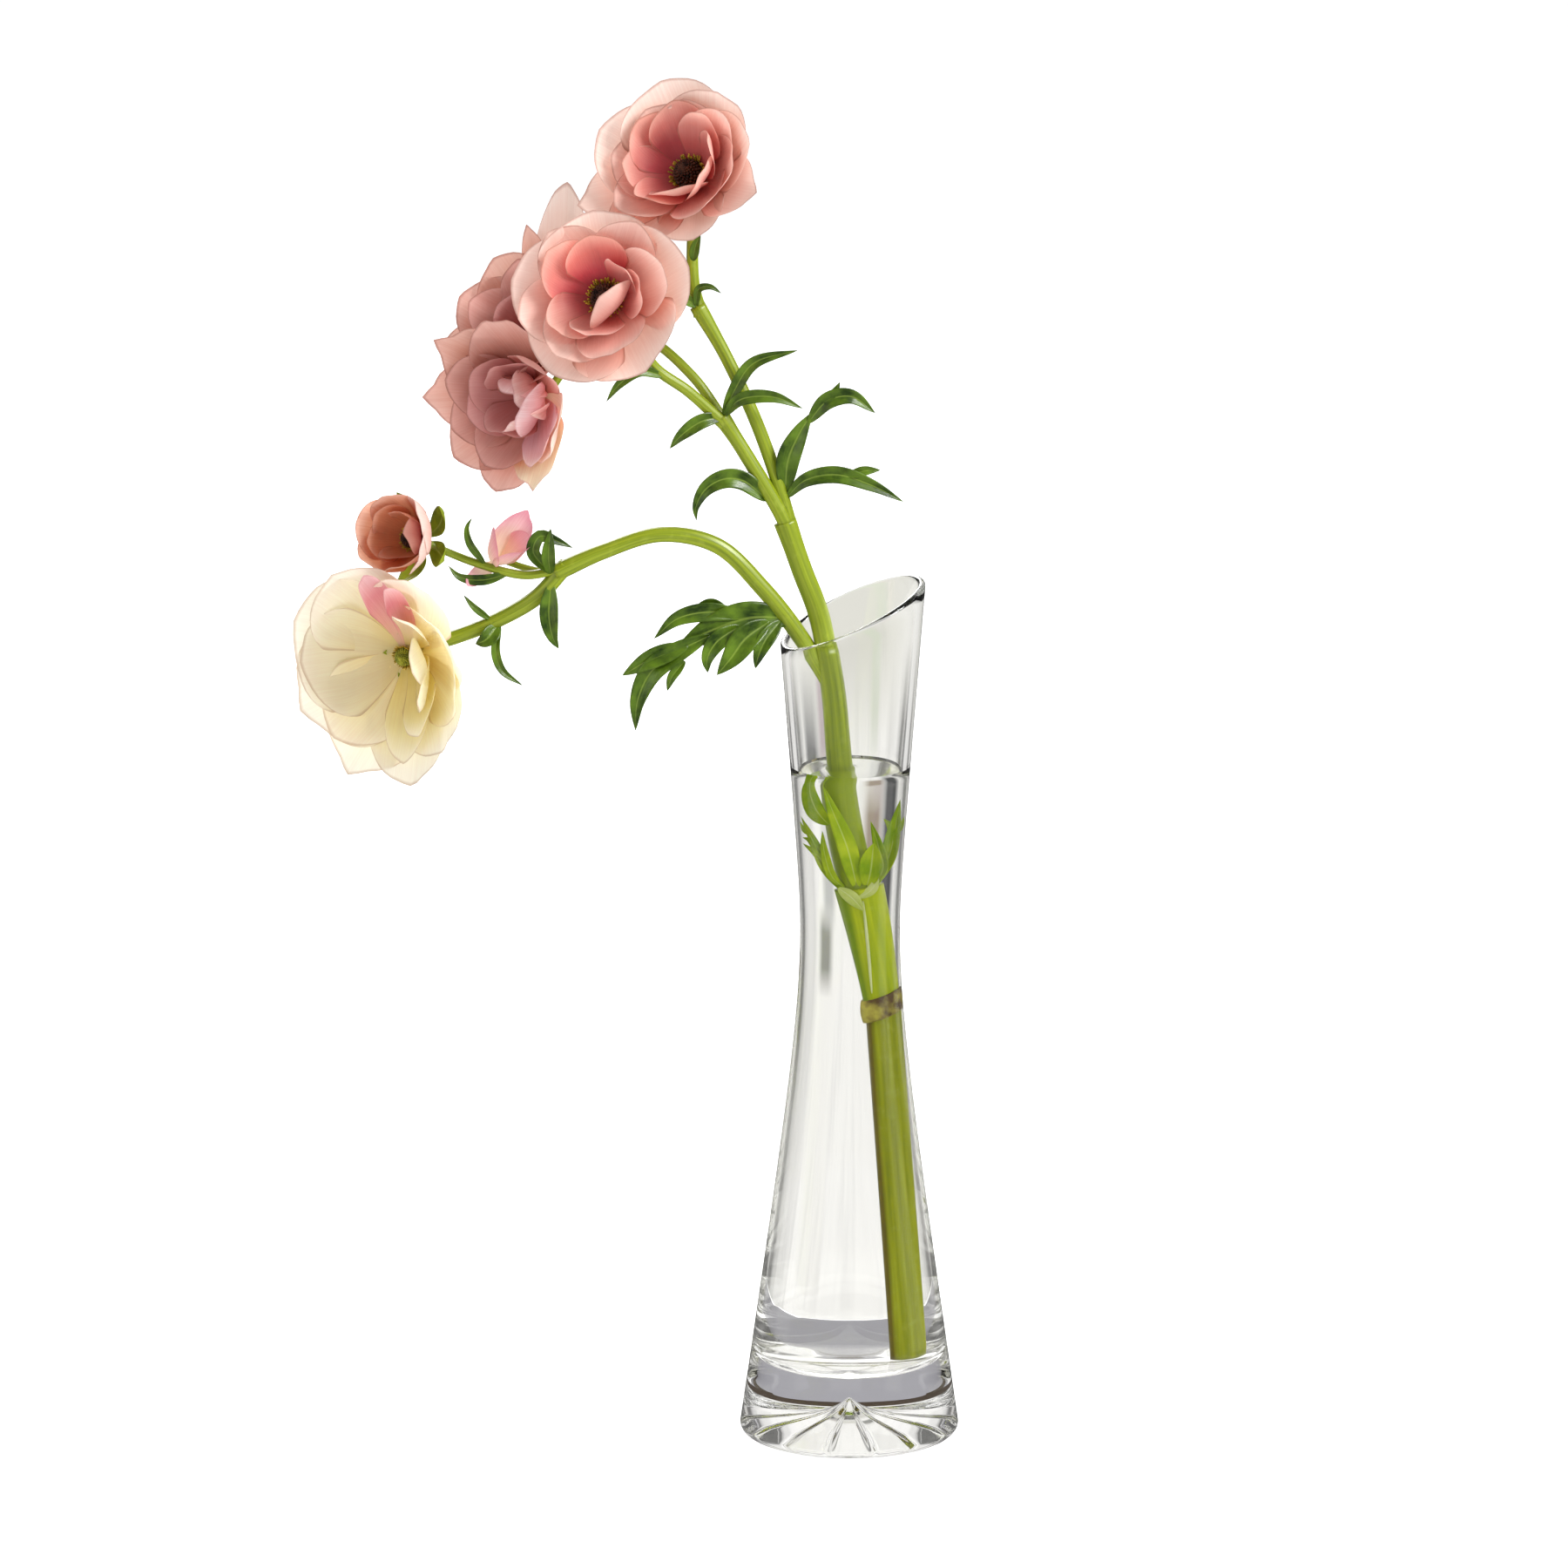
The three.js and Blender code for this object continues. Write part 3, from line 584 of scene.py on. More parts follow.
def build_stems():
    build_stem("lower_stem", [(12.5, 0, 20.5), (9.9, 0, 68), (7.1, 0, 120)], 4, 3.9, material=UNDERWATER_STEM_LIT)
    seam = sweep([(2.9, -5, 152.5), (3.9, -4.75, 141), (4.9, -4.15, 126)], sheath_edge, 24, material=1)
    build_stem("sheathed_stem", [
        (6.8, 0, 122.5), (5.2, 0, 134), (3.4, 0, 146), (1.8, 0, 155.6),
    ], 4, 5, material=SHEATH, more=[seam])
    build_stem("upper_stem", [
        (2, 0, 153), (-1.2, 0, 172), (-3.2, 0, 192), (-4.5, 0, 208), (-6.4, 0, 221),
    ], 3.9, 3.2, material=NECK_STEM_LIT_BELOW)
    build_stem("upright_stem", [
        (-5.6, 0, 215), (-8.8, 0, 231), (-13.2, 0, 243), (-17.8, 0, 256.4),
    ], 2.9, 2.8, swell=(0, 0.3))
    build_stem("top_stem", [
        (-15.6, 0, 249), (-17.2, 0.4, 258), (-24.4, 1, 280.5), (-33.3, 2, 300.5), (-41.5, 2, 315.4),
    ], 1.9, 1.7, swell=(0.2, 0.5))
    build_stem("top_pedicel", [
        (-40.6, 1.9, 312.6), (-42.6, 2.6, 322), (-42.4, 6.5, 339), (-41, 9.5, 346.5),
    ], 1.65, 1.5, swell=(0.35, 0))
    build_stem("middle_stem", [
        (-15.2, -0.3, 250), (-18.6, -0.8, 258), (-28.8, -1, 275.7), (-35, -1, 285.5),
    ], 2.1, 1.9, swell=(0.2, 0.4))
    build_stem("middle_pedicel", [
        (-33.6, -1, 283), (-44, -4, 293), (-53, -6, 300), (-60, -9, 312), (-63.8, -11.6, 320),
    ], 1.55, 1.4, swell=(0.4, 0))
    build_stem("rear_pedicel", [
        (-34, -0.6, 284), (-43, 3, 296), (-56, 9, 305.5), (-70, 15, 305), (-77.8, 19, 298.8),
    ], 1.4, 1.2)
    build_stem("drooping_pedicel", [
        (-62, 11.5, 306), (-70, 10, 303), (-77, 8.4, 297.5), (-81, 7.2, 292.3),
    ], 1.2, 1.2)
    build_stem("arching_stem", [
        (-4.2, 0, 205), (-7.6, -0.3, 214), (-14.1, -1, 225.3), (-24, -2.5, 238.5),
        (-36.2, -4, 250.5), (-51.4, -5, 253.8), (-67.3, -6, 249.2), (-80, -6, 243.5),
    ], 2.5, 1.9, steps=110, swell=(-1.3, 0.5))
    build_stem("cream_pedicel", [
        (-77, -6, 245.6), (-85, -5, 236.6), (-97, -4, 229.4), (-107, -4, 225.4), (-114, -5, 223.4),
    ], 2.3, 1.9)
    build_stem("bud_pedicel", [
        (-77, -6, 245), (-88, -7, 243), (-100.3, -7.5, 246), (-110.5, -7.5, 250), (-115.2, -7.8, 252.4),
    ], 1.3, 1)
    build_stem("half_open_pedicel", [(-83, -5.4, 243.4), (-89, -3, 244.4), (-94, -2, 246)], 0.9, 0.9)


def build_collar():
    """The torn brown remains of a leaf sheath round the lower node."""
    def section(t):
        turns = circle(48)
        ragged = 0.35 * np.sin(5 * turns + 1) + 0.2 * np.sin(11 * turns)
        radius = 4.5 + 0.35 * math.sin(math.pi * t) + ragged * 0.4 * t
        return ring(radius, turns)

    skin = sweep([(7.15, 0, 118.4), (6.95, 0, 121.5), (6.7, 0, 124.8)], section, 12)
    skin.points[:, 2] += 0.28 * (skin.points[:, 0] - 6.9)
    make_piece("lower_node_collar", [skin], [SCAR], "node_collar")


# ---------- leaves ----------

def blade(points, half_width, widest=0.45, fold=0.5, facing=(0, -1, 0.2), thick=0.5, wave=0,
          material=0, steps=26):
    """One lobe: a thin blade folded along its midrib, narrow at its base and pointed."""
    power = math.log(0.5) / math.log(widest)
    spread = np.linspace(-1, 1, 9)

    def section(t):
        width = 0.3 * (1 - t) + half_width * math.sin(math.pi * min(t, 0.999) ** power) ** 0.85
        body = thick * (0.25 + 0.75 * (1 - spread ** 2)) * min(1, 6 * (1 - t) + 0.15)
        lift = fold * width * np.abs(spread) ** 1.3 + wave * np.sin(9 * t + 2 * spread) * spread ** 2
        rib = 0.25 * thick * np.exp(-(spread / 0.16) ** 2)
        top = np.column_stack([spread * width, lift + body / 2 - rib, spread])
        under = np.column_stack([spread * width, lift - body / 2 - rib, spread])[::-1]
        return np.vstack([top, under])

    return sweep(points, section, steps, facing=facing, material=material)


def build_leaf(name, lobes, lit_underwater=False):
    """A leaf of several lobes; each is its midrib's points, its half width and other settings."""
    blades = [blade(points, width, **(rest[0] if rest else {})) for points, width, *rest in lobes]
    # A leaf under water takes the brighter underwater paint, a painted light.
    make_piece(f"{name}_blade", blades, [UNDERWATER_LEAF_LIT if lit_underwater else LEAF, MEMBRANE], name)


def build_leaves():
    build_leaf("whorl_leaf_left", [
        ([(-1.6, -2.4, 155), (-5.7, -3, 162), (-8.2, -3, 168.5), (-11.2, -2, 175.4)], 1.3),
        ([(-4.6, -3, 160), (-7.8, -3.5, 165.4), (-11.2, -3.4, 168)], 0.9),
        ([(-7.4, -3, 166), (-9.4, -2.6, 169), (-10.8, -2, 169.4)], 0.6),
        ([(-9, -2.8, 170.6), (-10.6, -2.6, 171.6), (-11.6, -2.4, 174)], 0.5),
        ([(-1.4, -2.8, 156), (-4, -3.8, 159), (-5.8, -3.8, 166), (-6.2, -3.6, 172)], 1),
    ], lit_underwater=True)
    build_leaf("whorl_leaf_right", [
        ([(4.4, 1.2, 155), (7.6, 2, 163.5), (8.8, 2, 170.5), (10.1, 1.5, 179.5)], 1.7),
        ([(8.4, 2, 168), (8, 2.4, 172), (6.4, 2.6, 174.4)], 0.8),
        ([(8.8, 2, 170), (10.6, 1.6, 172), (11.4, 1.2, 174.6)], 0.7),
        ([(4.2, 0.6, 156), (6.6, 1, 160), (5.6, 1.2, 167), (4, 1.4, 174)], 1.1),
    ], lit_underwater=True)
    build_leaf("whorl_leaf_round", [
        ([(3.4, -2.6, 155.4), (4.6, -4.4, 161), (5.2, -4.2, 168.6)], 2.7, {"widest": 0.55}),
    ], lit_underwater=True)
    build_leaf("whorl_leaf_front", [
        ([(1.6, -3.4, 155.6), (-0.8, -5.2, 168), (-4.4, -5.4, 179), (-6.2, -4.8, 185)], 2.1,
         {"widest": 0.4, "fold": 0.25}),
        ([(-2.6, -4.2, 156), (0.2, -5.3, 153.6), (3.2, -5.3, 149.6)], 1.5, {"material": 1, "fold": 0.1}),
        ([(2, -5, 153.4), (4.9, -4.5, 155.6), (6.2, -3.4, 159.4)], 1.1, {"material": 1, "fold": 0.1}),
    ], lit_underwater=True)
    build_leaf("surface_leaf", [
        ([(-4.6, -2, 173.5), (-7.6, -3.2, 178), (-9, -3.2, 183), (-8.4, -2.6, 187.4)], 2.4,
         {"facing": (-0.5, -1, 0.1), "fold": 0.6}),
    ], lit_underwater=True)
    build_leaf("rim_leaf", [
        ([(-13.8, -1.6, 228.6), (-20, -3, 230.4), (-28, -5, 230.6), (-37, -7, 228), (-47, -9, 223.6)],
         4.6, {"widest": 0.5, "fold": 0.2}),
        ([(-28, -4.4, 231), (-38, -6, 232.6), (-47, -7.4, 231), (-53.4, -8, 225.6)], 2.4),
        ([(-33, -3.6, 231.6), (-38, -3.6, 234), (-43.4, -4.4, 232.4)], 1.7),
        ([(-38, -8, 226.6), (-47.4, -9.6, 222), (-54, -10, 217), (-57.8, -10, 209),
          (-58.5, -9, 200.2)], 3, {"wave": 0.3}),
        ([(-44, -9, 224), (-54, -10.4, 220.5), (-62, -10, 215.8)], 2.6),
        ([(-45, -9, 219.6), (-48.5, -10, 215.4), (-49.8, -10, 211.5)], 1.2),
        ([(-22, -4, 229.6), (-28.6, -7.4, 225.4), (-32.4, -9.4, 220.6), (-36.3, -10.4, 216)], 3.5),
        ([(-30, -6, 228.8), (-36.6, -9, 224.6), (-38.9, -9.9, 220.4), (-38.8, -9.6, 216.5)], 2.4),
        ([(-19, -3, 229.6), (-23.2, -6.6, 224.8), (-25, -8, 221), (-25.9, -8, 217.3)], 2.2),
    ])
    build_leaf("hooked_leaf", [
        ([(-22.4, -1, 262.4), (-29.3, -2.6, 268.2), (-34.4, -3.6, 268.8), (-39.4, -4, 266),
          (-42, -4, 261), (-41.8, -4, 257.4)], 2.5, {"widest": 0.4}),
    ])
    build_leaf("forked_leaf", [
        ([(-17.4, 0, 263), (-12.5, -1.6, 268), (-4, -2.6, 269.8), (6, -3, 266.8), (14.3, -3, 262.4)],
         2.2),
        ([(-1, -2.6, 269.4), (3.6, -2.4, 270.8), (8, -2, 271)], 1.2),
    ])
    build_leaf("upright_leaf", [
        ([(-17.8, 0.4, 264), (-17, -0.6, 273.4), (-14.2, -1, 280.3), (-10.4, -1, 286.8)], 3),
        ([(-11.6, -1, 283.8), (-6.3, -2, 290), (0, -2, 291.2), (6.6, -1.6, 286.6)], 2.2),
        ([(-7.4, -1.9, 289.4), (-4.4, -1.6, 292.4), (-3, -1.2, 295)], 1),
    ])
    build_leaf("middle_leaf", [
        ([(-34.6, -2, 285.6), (-31.8, -4, 292.6), (-26.5, -4.4, 300.6), (-14.3, -3.6, 304.2)], 1.7),
        ([(-34.6, -2, 285.6), (-30, -4.6, 290.8), (-21, -5, 291.6), (-13, -4.6, 288.4)], 1.7),
        ([(-34.6, -2, 285.6), (-40.4, -4.6, 284.8), (-46, -5.4, 281), (-49, -5, 277.4)], 1.9),
    ])
    build_leaf("pedicel_leaf", [
        ([(-50.4, -6, 297.4), (-57, -9, 299.4), (-62.4, -10, 296), (-66, -10, 291.2)], 1.4),
    ])
    build_leaf("top_leaf", [
        ([(-41.8, 0.6, 315.4), (-41, -1.4, 320.6), (-38, -1.8, 321.2), (-35, -1.6, 319.4)], 0.9),
        ([(-41.8, 0.6, 315.4), (-45.6, -1, 318), (-47.8, -0.8, 314.2)], 1.3),
        ([(-42.6, 0.6, 328), (-42, -1, 332), (-40.6, -1.4, 335.6)], 1.2),
    ])
    build_leaf("arch_leaf", [
        ([(-81.4, -7.4, 243.6), (-86, -9, 250), (-84, -9.4, 254.2), (-79.9, -9.2, 253),
          (-75.2, -8.6, 250.8)], 1.7),
        ([(-81.4, -7.4, 243.6), (-81.8, -10, 249), (-81.2, -9.6, 256.4)], 1.7),
    ])
    build_leaf("arch_leaf_down", [
        ([(-81.2, -6.6, 241), (-81.8, -8.6, 232), (-80.8, -8.4, 226), (-79.2, -8, 222.8)], 2.4),
    ])
    build_leaf("arch_hook_leaf", [
        ([(-99.2, -8, 246.4), (-103.2, -10, 252.6), (-103.8, -10, 256.6), (-102.4, -9.6, 259.4)],
         0.9),
        ([(-93, -7.6, 243.4), (-100, -9, 242), (-106, -9.2, 243), (-109, -9, 246)], 1.3),
    ])
    build_leaf("cream_bract_curled", [
        ([(-95.2, -4.6, 228.4), (-96.4, -6.6, 222), (-94.6, -7, 216.6), (-89, -6.6, 212.2)], 1.1),
    ])
    build_leaf("cream_bract_round", [
        ([(-95.8, -5, 228.6), (-99, -7.6, 225.2), (-101.8, -7.4, 224)], 2.3),
        ([(-98, -5, 230.4), (-102, -7, 234), (-105, -7.4, 237.6)], 0.8),
    ])


# ---------- flowers ----------

def flower_axes(facing):
    """Columns: right, up and out of the flower's mouth."""
    out = unit(facing)
    right = unit(np.array([1, 0, 0]) - out[0] * out)
    return np.column_stack([right, np.cross(out, right), out])


def petal(length, width, lean, cup=0.06, base=(1.6, 0), swirl=0.1, ruffle=0.35, point=0.03,
          tone=0.5, material=0):
    """One petal standing at azimuth 0 round +Z. lean is how far it leans from the axis, in
    degrees, at its base, middle and tip; cup is its curvature across, per millimetre."""
    rows, columns = 22, 21
    chance = rng.random(4)
    v = np.linspace(0, 1, rows) ** 0.9
    u = np.sin(np.linspace(-math.pi / 2, math.pi / 2, columns))
    claw = 0.2
    open_width = claw + (1 - claw) * np.sin(math.pi / 2 * np.clip(v / 0.75, 0, 1)) ** 0.8
    across = np.outer(open_width, u) * width / 2
    cap = 1 - np.sqrt(1 - np.clip(np.abs(u), 0, 1) ** 2.1)
    nibble = [0.02 * noise.noise(Vector((x * 1.6, chance[0] * 50, 3.3))) for x in u]
    tip = 1 - 0.52 * cap + point * np.exp(-(u / 0.2) ** 2) + nibble
    along = length * np.outer(v, np.ones(columns)) * (1 + np.outer(v ** 1.1, tip - 1))

    step = np.linspace(0, length * 1.2, 60)
    bow = np.radians(np.interp(step / length, [0, 0.2, 0.55, 1], [lean[0], mix(*lean[:2], 0.55), *lean[1:]]))
    reach = np.concatenate([[0], np.cumsum(np.sin(bow[:-1]) * np.diff(step))])
    height = np.concatenate([[0], np.cumsum(np.cos(bow[:-1]) * np.diff(step))])
    rho = base[0] + np.interp(along, step, reach)
    zeta = base[1] + np.interp(along, step, height)
    tilt = np.interp(along, step, bow)

    shares = along / length
    side = np.sin(cup * across) / cup
    phase = chance[2] * 6.3
    ripple = ruffle * shares ** 2 * (
        0.6 * np.sin(across * 0.45 + phase) + 0.4 * np.sin(across * 0.9 + 2 * phase))
    slow = [[noise.noise(Vector((a * 1.1, b * 1.4, chance[3] * 40))) for a in u] for b in v]
    lift = (1 - np.cos(cup * across)) / cup + ripple + 1.4 * np.array(slow) * shares
    lift = lift + swirl * across * shares
    points = np.stack([rho - np.cos(tilt) * lift, side, zeta + np.sin(tilt) * lift], axis=2)
    grain = np.stack([np.broadcast_to(u, rho.shape), np.broadcast_to(v[:, None], rho.shape),
                      np.full(rho.shape, chance[0] * 20)], axis=2)
    return Surface(points, grid_faces(rows, columns), grain, (tone, chance[1], 0), material)


def turn_matrix(axis, angle):
    return np.array(Matrix.Rotation(angle, 3, axis))


def petals(rows, **more):
    """Petals from rows of azimuth in degrees, length, width, leans and tone; azimuth 0 is to
    the flower's right and 90 to its top."""
    made = []
    for azimuth, length, width, lean, tone, *rest in rows:
        one = petal(length, width, lean, tone=tone, **{**more, **(rest[0] if rest else {})})
        made.append(one.moved(turn_matrix("Z", math.radians(azimuth))))
    return made


def bead_surface(centre, radius, stretch=1, out=(0, 0, 1), material=0):
    """A small egg of 6 by 8 faces, its long way along out."""
    z = unit(out)
    x = unit(np.cross(z, (0.3, 1, 0.2)))
    axes = np.column_stack([x, np.cross(z, x), z])
    rows, columns = 6, 8
    lat = np.linspace(-math.pi / 2 + 0.2, math.pi / 2 - 0.2, rows)
    turns = circle(columns)
    egg = np.array([[math.cos(a) * math.cos(b), math.cos(a) * math.sin(b), stretch * math.sin(a)]
                    for a in lat for b in turns]) * radius
    faces = grid_faces(rows, columns, closed=True)
    faces += [tuple(range(columns - 1, -1, -1)), tuple(range((rows - 1) * columns, rows * columns))]
    return Surface(egg @ axes.T + centre, faces, np.zeros((len(egg), 3)), material=material)


def filament(t):
    return ring(0.17, circle(5), grain=0)


def flower_centre(size=1, height=1.4):
    """A dome of small carpels inside a close ring of short stamens."""
    carpels, stamens = 170, 70
    golden = math.pi * (3 - math.sqrt(5))
    parts = [bead_surface((0, 0, height), 3.5 * size, 1)]
    for i in range(carpels):
        turn = i * golden
        slope = (i + 0.5) / carpels * 0.62 * math.pi
        out = np.array([math.sin(slope) * math.cos(turn), math.sin(slope) * math.sin(turn),
                        math.cos(slope)])
        at = np.array([0, 0, height]) + out * np.array([3.6, 3.6, 4.4]) * size
        parts.append(bead_surface(at, 0.44 * size * (0.8 + 0.4 * rng.random()), 1.4, out))
    for i in range(stamens):
        turn = i * golden + 0.2 * rng.random()
        lean = math.radians(30 + 26 * rng.random())
        reach = (1.7 + 1.3 * rng.random()) * size
        way = np.array([math.cos(turn), math.sin(turn), 0])
        start = np.array([0, 0, height - 0.6]) + way * 3.3 * size
        end = start + reach * (way * math.sin(lean) + np.array([0, 0, math.cos(lean)]))
        bent = [start, (start + end) / 2 + way * 0.2, end]
        parts.append(sweep(bent, filament, 4, facing=(0.2, 0.1, 1), material=1))
        parts.append(bead_surface(end, 0.26 * size, 1.9, end - start, material=1))
    return parts


def calyx(size=1, sepals=1):
    """The swollen receptacle and five pointed sepals, held against the back of the petals."""
    def section(t):
        radius = size * (1.6 + 1.9 * math.sin(math.pi * min(t * 0.9 + 0.08, 1)) ** 0.8)
        return ring(radius, circle(20))

    bulb = sweep([(0, 0, -6 * size), (0, 0, -3.4 * size), (0, 0, -0.4)], section, 10,
                 facing=(0, 1, 0))
    parts = [bulb]
    for i in range(5):
        turn = turn_matrix("Z", math.radians(36 + 72 * i))
        points = [(1.4, 0, -3.4), (4.6, 0, -3.6), (8.2, 0, -1.6), (10.6, 0, 2.2)]
        sepal = blade(np.array(points) * size * sepals, 2.5 * size * sepals, facing=(0.3, 0, 1), fold=0.3)
        parts.append(sepal.moved(turn))
    return parts


def place_flower(name, at, facing, outer, inner, petal_paint, size=1, carpels=None, sepals=1):
    """Petals, sepals and centre of one flower, facing away from its stem."""
    carpels = carpels or CARPEL
    axes = flower_axes(facing)
    at = np.array(at, float)
    for ending, shown, paint, node in (
            ("outer_petals_skin", outer, petal_paint, "outer_petals"),
            ("inner_petals_skin", inner, petal_paint, "inner_petals"),
            ("carpels_and_stamens", flower_centre(size), [carpels, STAMEN], "centre"),
            ("sepals", calyx(size, sepals), [YOUNG_LEAF], "calyx")):
        surfaces = [p.moved(axes, at) for p in shown]
        make_piece(f"{name}_{ending}", surfaces, paint, f"{name}_{node}")


# Setting of a petal in its flower's second paint.
OTHER = {"material": 1}


def build_middle_flower():
    # The left and bottom petals of the outer row have lower tones, so they are darker and more saturated: a
    # painted shade.
    outer = petals([
        (97, 22, 34, (88, 76, 62), 1), (22, 24, 31, (88, 75, 60), 1),
        (168, 24.5, 30, (88, 78, 66), 0.85), (236, 23.5, 31, (88, 78, 66), 0.82),
        (300, 22.5, 34, (88, 76, 62), 0.9),
    ], cup=0.03, base=(1.6, -0.8))
    outer += petals([
        (62, 21.5, 20, (84, 66, 50), 0.62), (18, 21, 20, (82, 54, 34), 0.72),
        (130, 21.5, 21, (86, 72, 60), 0.8), (194, 22.5, 21, (86, 72, 60), 0.7),
        (234, 20.5, 21, (84, 64, 46), 0.6), (284, 20, 21, (82, 54, 32), 0.62),
    ], cup=0.045, base=(1.8, 0))
    inner = petals([
        (140, 18.5, 19, (82, 62, 46), 0.05), (99, 16.5, 18, (80, 56, 36), 0),
        (38, 15, 14, (72, 26, -6), 0.28), (2, 16, 14, (76, 34, 8), 0.38),
        (262, 16, 16, (76, 34, 10), 0.42), (212, 16.5, 15, (80, 52, 30), 0.2),
        (318, 15, 17, (56, -4, -62), 0.42, {"cup": 0.04}),
    ], cup=0.06, base=(2.4, 0.6))
    place_flower("middle_flower", (-65.5, -18, 320.6), (-0.22, -0.93, 0.3), outer, inner, [BLUSH])


def build_top_flower():
    outer = petals([
        (100, 26, 32, (86, 65, 48), 1), (148, 27, 30, (87, 70, 55), 0.95),
        (190, 28.5, 24, (87, 77, 70), 0.85, {"point": 0.08}), (222, 26, 23, (87, 76, 64), 0.75),
        (276, 19, 21, (88, 80, 72), 0.95), (332, 23, 20, (86, 68, 58), 0.7, {"point": 0.12}),
        (14, 23, 25, (85, 58, 36), 0.92), (54, 24, 28, (85, 60, 40), 1),
    ], cup=0.04, base=(1.6, -0.8))
    outer += petals([
        (82, 19.5, 21, (83, 56, 38), 0.78), (118, 20, 23, (84, 60, 42), 0.82),
        (162, 20.5, 22, (84, 66, 50), 0.76), (206, 20.5, 19, (83, 62, 48), 0.6),
        (350, 20.5, 19, (82, 50, 26), 0.55), (34, 21, 20, (82, 50, 26), 0.62),
        (300, 20, 20, (82, 52, 28), 0.42),
    ], cup=0.05, base=(1.8, 0))
    inner = petals([
        (127, 18.5, 19, (80, 56, 38), 0.05), (90, 18.5, 19, (80, 52, 32), 0.08),
        (52, 17.5, 16, (76, 40, 14), 0.3), (14, 16.5, 14, (74, 34, 4), 0.3),
        (266, 15.5, 18, (72, 26, -10), 0.36), (225, 16, 15, (76, 42, 18), 0.2),
        (322, 16, 15, (74, 30, -4), 0.3), (172, 17, 15, (80, 54, 36), 0.12),
    ], cup=0.06, base=(2.4, 0.6))
    place_flower("top_flower", (-43.2, 4, 350.4), (-0.4, -0.76, 0.5), outer, inner, [BLUSH])


def build_drooping_flower():
    outer = petals([
        (150, 27, 22, (86, 66, 52), 0.9, {"point": 0.12}),
        (185, 27.5, 22, (86, 68, 58), 0.85, {"point": 0.12}),
        (222, 27, 24, (86, 66, 54), 0.8), (258, 27, 22, (85, 60, 46), 0.75),
        (296, 27, 20, (84, 48, 30), 0.9, {"point": 0.14, "material": 1}), (110, 25, 24, (84, 56, 40), 0.7),
        (330, 27, 20, (82, 36, 14), 0.55, OTHER),
    ], cup=0.05, base=(1.6, -0.8), ruffle=0.9)
    outer += petals([
        (170, 23, 20, (84, 60, 46), 0.6), (205, 23, 20, (84, 62, 50), 0.62),
        (245, 22, 20, (82, 54, 38), 0.5), (60, 22, 18, (80, 36, 12), 0.4),
        (310, 24, 17, (80, 36, 14), 0.05, OTHER),
    ], cup=0.06, base=(1.8, 0), ruffle=0.7)
    inner = petals([
        (160, 18, 18, (80, 46, 20), 0.1), (198, 18, 18, (80, 50, 28), 0.05),
        (120, 17, 16, (76, 30, -4), 0.15), (340, 19, 17, (70, 6, -34), 0.1, OTHER),
        (30, 17, 16, (68, 4, -40), 0.3, OTHER), (300, 18, 17, (70, 8, -30), 0.3, OTHER),
        (75, 16, 15, (66, 0, -36), 0.2, OTHER), (245, 17, 16, (74, 24, -10), 0.05),
    ], cup=0.06, base=(1.6, 0.6), ruffle=0.6)
    place_flower("drooping_flower", (-85.6, 2, 291), (-0.5, -0.86, -0.06), outer, inner, [MAUVE, LILAC],
                 size=0.6)


def build_rear_flower():
    outer = petals([
        (64, 41, 17, (86, 63, 57), 1, OTHER), (84, 30, 9, (86, 60, 50), 1),
        (112, 25, 24, (86, 60, 44), 0.95), (146, 25, 24, (86, 62, 48), 0.8),
        (180, 26, 20, (86, 66, 56), 1), (215, 25, 20, (86, 66, 56), 0.8),
        (60, 26, 20, (84, 50, 30), 0.9), (20, 24, 20, (82, 40, 20), 0.7),
        (270, 24, 22, (84, 60, 48), 0.7), (320, 24, 20, (82, 44, 24), 0.6),
    ], cup=0.05, base=(1.6, -0.8), ruffle=0.8)
    outer += petals([
        (90 + 60 * i, 21, 18, (82, 48 - 4 * (i % 3), 28), 0.5 + 0.05 * i) for i in range(6)
    ], cup=0.06, base=(1.8, 0), ruffle=0.7)
    inner = petals([
        (60 + 72 * i, 16, 16, (70, 12, -24), 0.1 + 0.04 * i) for i in range(5)
    ], cup=0.07, base=(1.6, 0.6), ruffle=0.6)
    place_flower("rear_flower", (-84, 14, 304.5), (-0.5, -0.66, 0.56), outer, inner,
                 [MAUVE, BLUSH], size=0.6)


def build_bud_flower():
    outer = petals([
        (95, 17, 19, (80, 34, 8), 0.95), (160, 17, 19, (80, 36, 12), 0.6),
        (215, 16.5, 18, (80, 34, 10), 0.5), (280, 16, 17, (80, 30, 2), 0.6),
        (335, 18, 18, (82, 38, 10), 0.9, OTHER), (22, 18.5, 19, (82, 36, 8), 0.95, OTHER),
    ], cup=0.08, base=(1.4, -0.6))
    inner = petals([
        (130, 13, 13, (76, 26, 4), 0.3), (190, 13, 13, (76, 26, 6), 0.2),
        (70, 13, 11, (72, 18, -10), 0.5), (0, 13, 11, (72, 14, -16), 0.3, OTHER),
        (250, 12, 11, (74, 18, -6), 0.4),
    ], cup=0.1, base=(1.6, 0.3))
    place_flower("bud_flower", (-118, -8.6, 253.4), (-0.6, -0.76, 0.24), outer, inner,
                 [CORAL, BLUSH], size=0.66, sepals=1.9)


